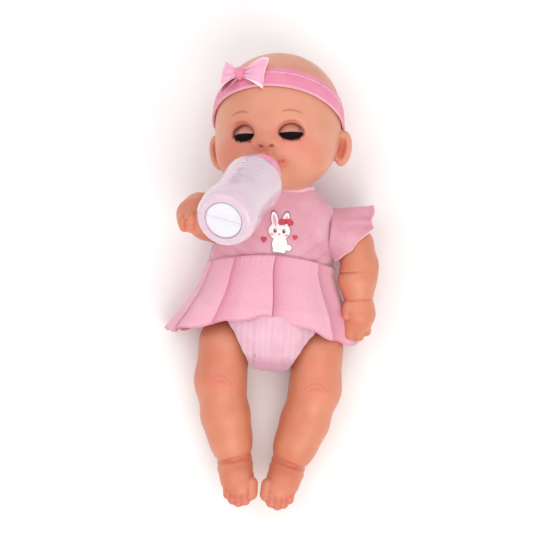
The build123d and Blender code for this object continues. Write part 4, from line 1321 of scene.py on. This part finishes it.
def torso_path(xs, ys, lift):
    """The front of the torso under given x and y, lifted off it."""
    starts = np.stack((xs, ys, section(ys, 3)), 1)
    low, high = np.zeros(len(xs)), np.full(len(xs), 60.0)
    for _ in range(24):
        t = (low + high) / 2
        inside = torso_field(starts + t[:, None] * (0, 0, 1.0)) < lift
        low, high = np.where(inside, t, low), np.where(inside, high, t)
    return starts + low[:, None] * (0, 0, 1.0)


xs = np.linspace(-37, 37, 200)
waist_y = 14.6 + 6.5 * np.clip(1 - (xs / 42) ** 2, 0, 1)
stitch_line("waist_stitches", torso_path(xs, waist_y, 3.4), BODY, "torso", SHORT_STITCH, PINK_THREAD, 1.9, 5)

# %% [markdown]
# The bow is two folded loops of printed satin ribbon pulled in by a knot. Each loop is a strip that leaves the
# knot, swells, turns at its outer end and comes back underneath; its inner face gets a painted shade, so the fold shows
# as a dark mouth.


# %% Bow
def bow_place():
    """x along the bow, y across it and z out of the head, from the knot's middle on the band."""
    spot = Vector(band_points(np.array([math.radians(-20)]), np.array([3.4]), np.array([2.0]))[0])
    out = (HEAD.to_3x3() @ (spot - Vector(BAND_MIDDLE))).normalized()
    z = (0.7 * out + 0.3 * Vector((0, 0, 1))).normalized()
    x = Vector((math.cos(math.radians(-6)), math.sin(math.radians(-6)), 0.0))
    x = (x - x.project(z)).normalized()
    return axes(HEAD @ spot, x, z.cross(x)) @ Matrix.Scale(1.02, 4)


BOW = bow_place()


def loop_grid(side, columns=60, rows=26):
    """Rows across the ribbon, columns from the knot over the top, round the end and back below."""
    s = np.linspace(0, 1, columns)
    v = np.linspace(-1, 1, rows)[:, None]
    turn = 2 * math.pi * s
    reach = (1 - np.cos(turn)) / 2
    x = 1.6 + (17.0 if side > 0 else 13.0) * reach ** 0.85
    puff = 4.4 * np.sin(turn) * (0.45 + 0.55 * reach)
    half = 3.0 + 9.8 * reach ** 0.9
    pinch = 1.2 * np.sin(3.2 * math.pi * v + 0.6 * side) * np.exp(-reach / 0.45) * np.sign(np.sin(turn))
    dip = -1.2 * (1 - v ** 2) * np.exp(-((reach - 0.35) / 0.3) ** 2) * np.sign(np.sin(turn)) * 0.6
    y = v * half * (1 + 0.05 * np.sin(5 * s + side)) + 0.9 * reach * side
    z = 3.6 + puff + pinch + dip + 0 * v - 0.10 * (v * half) ** 2 / 6 * reach
    return np.stack((side * (x + 0 * v), y, np.maximum(z, 0.35 + 0 * v)), -1)


RIBBON, tree, bsdf = new_material("printed_satin_ribbon", Roughness=0.36, Anisotropic=0.4, Sheen_Weight=0.3,
                                  Coat_Weight=0.2, Coat_Roughness=0.3)
place, x, y = weave_axes(tree)
tone = mix(tree, noise(tree, 6, 3), colour("#ee9fbd"), colour("#f7bdd1"))
dots = add(tree, "ShaderNodeTexVoronoi", {"feature": "F1"}, Vector=place, Scale=420.0, Randomness=0.9)
tone = mix(tree, ramp(tree, dots.outputs["Distance"], [(0.16, 0.75), (0.24, 0.0)]), tone, colour("#cf6389"))
tone = mix(tree, ramp(tree, attribute(tree, "border"), [(0.80, 0.0), (0.86, 0.8)]), tone, colour("#fdeaf1"))
# painted shade on the inner face of each loop
tone = mix(tree, maths(tree, "MULTIPLY", attribute(tree, "inside"), 0.7), tone, colour("#c65f7e"))
tree.links.new(tone, bsdf.inputs["Base Color"])
finish_bump(tree, bsdf, maths(tree, "MULTIPLY", wave(tree, x, 0.28), wave(tree, y, 0.36)), 0.04)

for side, name in ((1, "left"), (-1, "right")):
    grid = loop_grid(side)
    loop_piece = grid_sheet(f"bow_loop_{name}", grid if side > 0 else grid[::-1], 0.5, BOW, False, RIBBON)
    rows, columns = grid.shape[:2]
    ends = (1 - np.cos(2 * math.pi * np.linspace(0, 1, columns))) / 2
    border = np.maximum(np.abs(np.linspace(-1, 1, rows))[:, None], (0.80 + 4.0 * (ends - 0.985))[None, :])
    paint(loop_piece, "border", np.tile(border.ravel(), 2))
    # painted shade: the inner face of the ribbon wall is darkened
    inner = np.concatenate([np.zeros(rows * columns), np.ones(rows * columns)])
    paint(loop_piece, "inside", inner)
    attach(loop_piece, "head")
    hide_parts("bow_loops")


def knot_field(p):
    f = egg(p, (0, 0, 4.4), (3.5, 5.4, 4.4))
    f = f - 0.22 * np.sin(2.6 * p[:, 0] + 0.5) * np.cos(0.3 * p[:, 1])
    return np.maximum(f, 0.3 - p[:, 2])


KNOT_SATIN = satin("bow_knot_satin", "#e8799b", "#f29ab4", "#b94a6c")
knot = sculpt("bow_knot_satin_fold", knot_field, (-5, -7, -1), (5, 7, 10), 0.35, BOW)
weave_paint(knot, [tuple(v.co) for v in knot.data.vertices])
knot.data.materials.append(KNOT_SATIN)
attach(knot, "head")
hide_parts("bow_knot")

# %% [markdown]
# ### Chest print
# A transfer print lies on the jersey: a white rabbit with a red bow and two small hearts. It is drawn as filled
# shapes on a fine grid, each shape a distance in the print's own plane, and it stretches with the cloth.


# %% Print motif
def oval(x, y, cx, cy, rx, ry, turn=0.0):
    c, s = math.cos(math.radians(turn)), math.sin(math.radians(turn))
    u, v = (x - cx) * c + (y - cy) * s, -(x - cx) * s + (y - cy) * c
    return (np.hypot(u / rx, v / ry) - 1) * min(rx, ry)


def heart(x, y, cx, cy, size):
    u, v = (x - cx) / size, (y - cy) / size
    return np.hypot(u, v * 1.1 - 0.75 * np.sqrt(np.abs(u) + 1e-6)) * size - size


def cover(distance, soft=0.18):
    return np.clip(0.5 - distance / soft, 0, 1)


def motif(x, y):
    """Shapes from back to front as (how much it covers, colour number)."""
    ears = np.minimum(oval(x, y, -4.6, 9.6, 2.6, 6.4, 14), oval(x, y, 3.6, 9.8, 2.6, 6.2, -10))
    ear_pink = np.minimum(oval(x, y, -4.6, 9.2, 1.2, 4.4, 14), oval(x, y, 3.6, 9.4, 1.2, 4.2, -10))
    face = oval(x, y, -0.5, 1.5, 8.2, 6.8)
    body = np.minimum(oval(x, y, 0.5, -8.2, 5.8, 6.4), oval(x, y, 7.2, -10.5, 2.6, 2.4))
    paws = np.minimum(oval(x, y, -2.4, -13.0, 2.2, 1.7), oval(x, y, 3.4, -13.2, 2.2, 1.7))
    white = np.minimum(np.minimum(ears, face), np.minimum(body, paws))
    eyes = np.minimum(oval(x, y, -3.7, 1.6, 1.25, 1.7), oval(x, y, 2.9, 1.6, 1.25, 1.7))
    glints = np.minimum(oval(x, y, -3.3, 2.3, 0.4, 0.5), oval(x, y, 3.3, 2.3, 0.4, 0.5))
    nose = oval(x, y, -0.4, -0.9, 0.8, 0.55)
    cheeks = np.minimum(oval(x, y, -6.0, -1.4, 1.6, 1.1), oval(x, y, 5.2, -1.4, 1.6, 1.1))
    ribbon = np.minimum(oval(x, y, 1.2, 8.4, 2.9, 2.0, 24), oval(x, y, 6.4, 8.9, 2.9, 2.0, -24))
    knot_spot = oval(x, y, 3.8, 8.4, 1.1, 1.2)
    hearts = np.minimum(heart(x, y, -11.6, -6.5, 2.3), heart(x, y, 11.6, -3.0, 1.9))
    return [(cover(hearts), 2), (cover(white - 0.35), 3), (cover(white), 1), (cover(ear_pink), 4), (cover(cheeks), 4),
            (cover(eyes), 3), (cover(glints), 1), (cover(nose), 2), (cover(ribbon - 0.3), 3), (cover(ribbon), 2),
            (cover(knot_spot), 5)]


side_count = 190
px, py = np.meshgrid(np.linspace(-15.5, 15.5, side_count), np.linspace(-16.5, 17.5, side_count))
surface = torso_path(px.ravel() - 0.6, py.ravel() + 36.6, 3.55).reshape(side_count, side_count, 3)
chest_print = grid_sheet("chest_transfer_print", surface, 0.16)
colours = {1: "#fbf6f5", 2: "#d8324f", 3: "#5d3a44", 4: "#f4a9b8", 5: "#a91f3b"}
ink = np.zeros((side_count, side_count, 3))
film = np.zeros((side_count, side_count))
for amount, number in motif(px, py):
    tint = np.array(colour(colours[number])[:3])
    ink = ink * (1 - amount[..., None]) + tint * amount[..., None]
    film = np.maximum(film, amount)
layer = chest_print.data.attributes.new("ink", "FLOAT_VECTOR", "POINT")
layer.data.foreach_set("vector", np.tile(ink.reshape(-1, 3), (2, 1)).astype(np.float32).ravel())
paint(chest_print, "film", np.tile(film.ravel(), 2))
PRINT, tree, bsdf = new_material("transfer_print_ink", Roughness=0.5, Coat_Weight=0.15, Coat_Roughness=0.3)
ink_colour = add(tree, "ShaderNodeAttribute", {"attribute_name": "ink"}).outputs["Vector"]
crackle = maths(tree, "MULTIPLY", ramp(tree, noise(tree, 0.5, 3), [(0.3, 1.0), (0.45, 0.0)]), 0.25)
tree.links.new(mix(tree, crackle, ink_colour, colour("#e3a3b2")), bsdf.inputs["Base Color"])
tree.links.new(ramp(tree, attribute(tree, "film"), [(0.35, 0.0), (0.6, 0.97)]), bsdf.inputs["Alpha"])
place, x, y = weave_axes(tree)
finish_bump(tree, bsdf, maths(tree, "ADD", wave(tree, x, 0.62), noise(tree, 0.4, 2)), 0.04)
chest_print.data.materials.append(PRINT)
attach(chest_print, "torso")
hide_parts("chest_print")

# %% [markdown]
# ## Bottle
# The bottle is blow-moulded from clear polypropylene and filled with a milky lining, so it looks like frosted
# glass. Its cap screws on, with fine grip ribs, and carries a silicone teat.


# %% Bottle materials
def plastic(name, base, light, rough=0.35, cloud_mm=12, bump_mm=0.02, **shader):
    mat, tree, bsdf = new_material(name, Roughness=rough, **shader)
    tree.links.new(mix(tree, noise(tree, cloud_mm, 3), colour(base), colour(light)), bsdf.inputs["Base Color"])
    spots = ramp(tree, noise(tree, 2.5, 4), [(0.35, max(rough - 0.08, 0.02)), (0.75, rough + 0.1)])
    tree.links.new(spots, bsdf.inputs["Roughness"])
    finish_bump(tree, bsdf, noise(tree, 0.6, 3), bump_mm)
    return mat


MILKY = plastic("milky_polypropylene", "#f2d3e2", "#fae6f0", 0.16, 25, 0.02, Transmission_Weight=0.30, IOR=1.45,
                Coat_Weight=0.5, Coat_Roughness=0.08, Subsurface_Weight=0.25, Subsurface_Scale=0.006)
BASE_WHITE = plastic("white_polypropylene", "#dcd9e1", "#e8e6ec", 0.22, 10, 0.01, Coat_Weight=0.4)
PINK_CAP = plastic("pink_polypropylene", "#f18fb8", "#f9a5c8", 0.25, 10, 0.02, Coat_Weight=0.4, Coat_Roughness=0.1)
SILICONE = plastic("teat_silicone", "#f3a6bf", "#f8bdd0", 0.3, 8, 0.02, Subsurface_Weight=0.3, Subsurface_Scale=0.003)
BODY_ABS = plastic("torso_abs", "#dc9a80", "#e6a98f", 0.45)
WHITE_ABS = plastic("white_abs", "#e9e7e2", "#f4f2ee", 0.4)
DARK_ABS = plastic("dark_abs", "#2a2b2e", "#3a3b3f", 0.45)
BUTTON_PINK = plastic("button_pink_abs", "#e77f9d", "#ef93ad", 0.35)
SPRING = plastic("zinc_spring_steel", "#9a9c9e", "#b4b6b8", 0.3, 3, 0.01, Metallic=1.0)
BOARD = plastic("green_circuit_board", "#1f6a45", "#2a7d54", 0.4, 6)
BRASS = plastic("tinned_brass", "#b6995c", "#c9ae74", 0.3, 4, 0.01, Metallic=1.0)
PAPER = plastic("speaker_paper", "#3b3633", "#4a4440", 0.8, 3, 0.05)
CELL = plastic("battery_foil", "#3a8f86", "#4aa49b", 0.3, 6)
FABRIC_TAB = jersey("closure_hook_tape", "#f2d5dc", "#fae6ea", "#d9aab5", 0.9, 0.2)
KNOB = plastic("moulded_vinyl_plug", "#d98f74", "#e09a80", 0.45)

# %% The hard nodes' materials
BY_MATERIAL = [
    (MILKY, ["bottle_body"]), (BASE_WHITE, ["bottle_base"]), (PINK_CAP, ["bottle_collar"]), (SILICONE, ["bottle_teat"]),
    (BODY_ABS, ["torso_front_shell", "torso_back_shell", "battery_door"]),
    (KNOB, ["left_arm_plug", "right_arm_plug", "left_leg_plug", "right_leg_plug", "neck_post", "mouth_cup"]),
    (WHITE_ABS, ["left_eye_socket", "right_eye_socket", "battery_box", "speaker_bracket", "spring_seat"]),
    (BUTTON_PINK, ["belly_button"]), (DARK_ABS, ["switch_slider", "switch_housing", "tact_switch", "speaker_wires",
                                               "battery_wires", "board_components"]),
    (SPRING, ["button_spring", "shell_screws", "door_screw", "left_eye_weight", "right_eye_weight", "speaker_frame"]),
    (BOARD, ["circuit_board"]), (BRASS, ["battery_contacts"]), (PAPER, ["speaker_cone"]), (CELL, ["batteries"]),
    (FABRIC_TAB, ["closure_tab"]),
]
nodes = frame["nodes"]
for material, names in BY_MATERIAL:
    for name in names:
        mesh = nodes[name].data
        mesh.materials.clear()
        mesh.materials.append(material)
print("materials on", sum(len(names) for _, names in BY_MATERIAL), "CAD nodes")


# %% [markdown]
# Graduation strokes are raised on the wall of the bottle. Each one is a short arc round the bottle, and the row
# climbs along it, so a parent could read how much is left.

# %% Graduation strokes
LIPS = HEAD @ Vector(MOUTH)
bottle_side = Vector((-1, 0.1, 0)) - Vector((-1, 0.1, 0)).project(BOTTLE_WAY)
bottle_side.normalize()
bottle_top = bottle_side.cross(BOTTLE_WAY) * -1
BOTTLE = axes(LIPS, bottle_side, bottle_top)
if (BOTTLE.to_3x3() @ Vector((0, 0, 1))).dot(BOTTLE_WAY) < 0:
    BOTTLE = axes(LIPS, bottle_side, -bottle_top)
WALL = np.array([(31.4, 21.0), (35.6, 21.75), (42, 21.4), (53, 20.4), (63, 20.2), (73, 20.6), (83, 21.5)])
up = np.array((BOTTLE.to_3x3().inverted() @ Vector((0, 0, 1)))[:2])
facing = math.atan2(up[1], up[0]) + 0.35
strokes, stroke_faces = [], []
for i, along in enumerate(np.linspace(36, 74, 12)):
    reach = 0.30 if i % 3 else 0.42
    turn = facing + np.linspace(-reach, reach, 14)
    wall = np.interp(along, WALL[:, 0], WALL[:, 1]) + 0.05
    path = np.stack((wall * np.cos(turn), wall * np.sin(turn), np.full(14, along)), 1)
    verts, faces = tube_mesh(path, np.full(14, 0.28), 8)
    stroke_faces += [tuple(k + len(strokes) * len(verts) for k in f) for f in faces]
    strokes.append(verts)
graduation = add_object("bottle_graduation", np.concatenate(strokes), stroke_faces, BOTTLE)
graduation.data.materials.append(MILKY)
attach(graduation, "bottle")
print("graduation", len(strokes), "strokes")

# %% [markdown]
# ## Light and camera
# The doll lies on white paper under a large soft lamp, with a weaker one from the other side and a pale sky, so
# that the shadows stay short and faint. The camera looks straight down from 1.4 metres.

# %% Stage
floor_mat, tree, bsdf = new_material("white_paper", Roughness=0.9)
paper_tone = ramp(tree, noise(tree, 60, 4), [(0.3, colour("#f7f7f7")), (0.7, colour("#fbfbfb"))])
tree.links.new(paper_tone, bsdf.inputs["Base Color"])
finish_bump(tree, bsdf, noise(tree, 1.5, 3), 0.02)
bpy.ops.mesh.primitive_plane_add(size=6, location=(0, 0, -0.0004))
floor = bpy.context.object
floor.name = "paper_floor"
floor.data.materials.append(floor_mat)


def area_light(name, place, target, size, power, tint="#ffffff"):
    light = bpy.data.lights.new(name, "AREA")
    light.shape, light.size, light.energy, light.color = "DISK", size, power, colour(tint)[:3]
    obj = bpy.data.objects.new(name, light)
    bpy.context.scene.collection.objects.link(obj)
    obj.location = place
    obj.rotation_euler = (Vector(target) - Vector(place)).to_track_quat("-Z", "Y").to_euler()
    return obj


lamps = [area_light("key_softbox", (0.42, -0.80, 1.30), (0, 0.0, 0.05), 1.4, 10, "#fffaf4"),
         area_light("fill_softbox", (-0.70, 0.25, 1.30), (0, 0, 0.05), 1.2, 4, "#f8f9ff"),
         area_light("crown_softbox", (0.25, 0.8, 1.3), (0, 0.03, 0.05), 0.9, 2, "#ffffff")]
world = bpy.data.worlds.new("pale_studio")
world.use_nodes = True
world.node_tree.nodes["Background"].inputs["Color"].default_value = colour("#ffffff")
world.node_tree.nodes["Background"].inputs["Strength"].default_value = 0.78
bpy.context.scene.world = world
bpy.context.scene.view_settings.view_transform = "Standard"

# %% Camera
CAMERA_HEIGHT = 1.440
camera_data = bpy.data.cameras.new("camera")
camera_data.lens = 119.8
camera_data.sensor_width = 36
camera = bpy.data.objects.new("camera", camera_data)
bpy.context.scene.collection.objects.link(camera)
middle = BODY @ Vector((-1.6, 5.0, 0))
camera.location = (middle.x, middle.y, CAMERA_HEIGHT)
camera.rotation_euler = (0, 0, math.radians(4.8))
bpy.context.scene.camera = camera
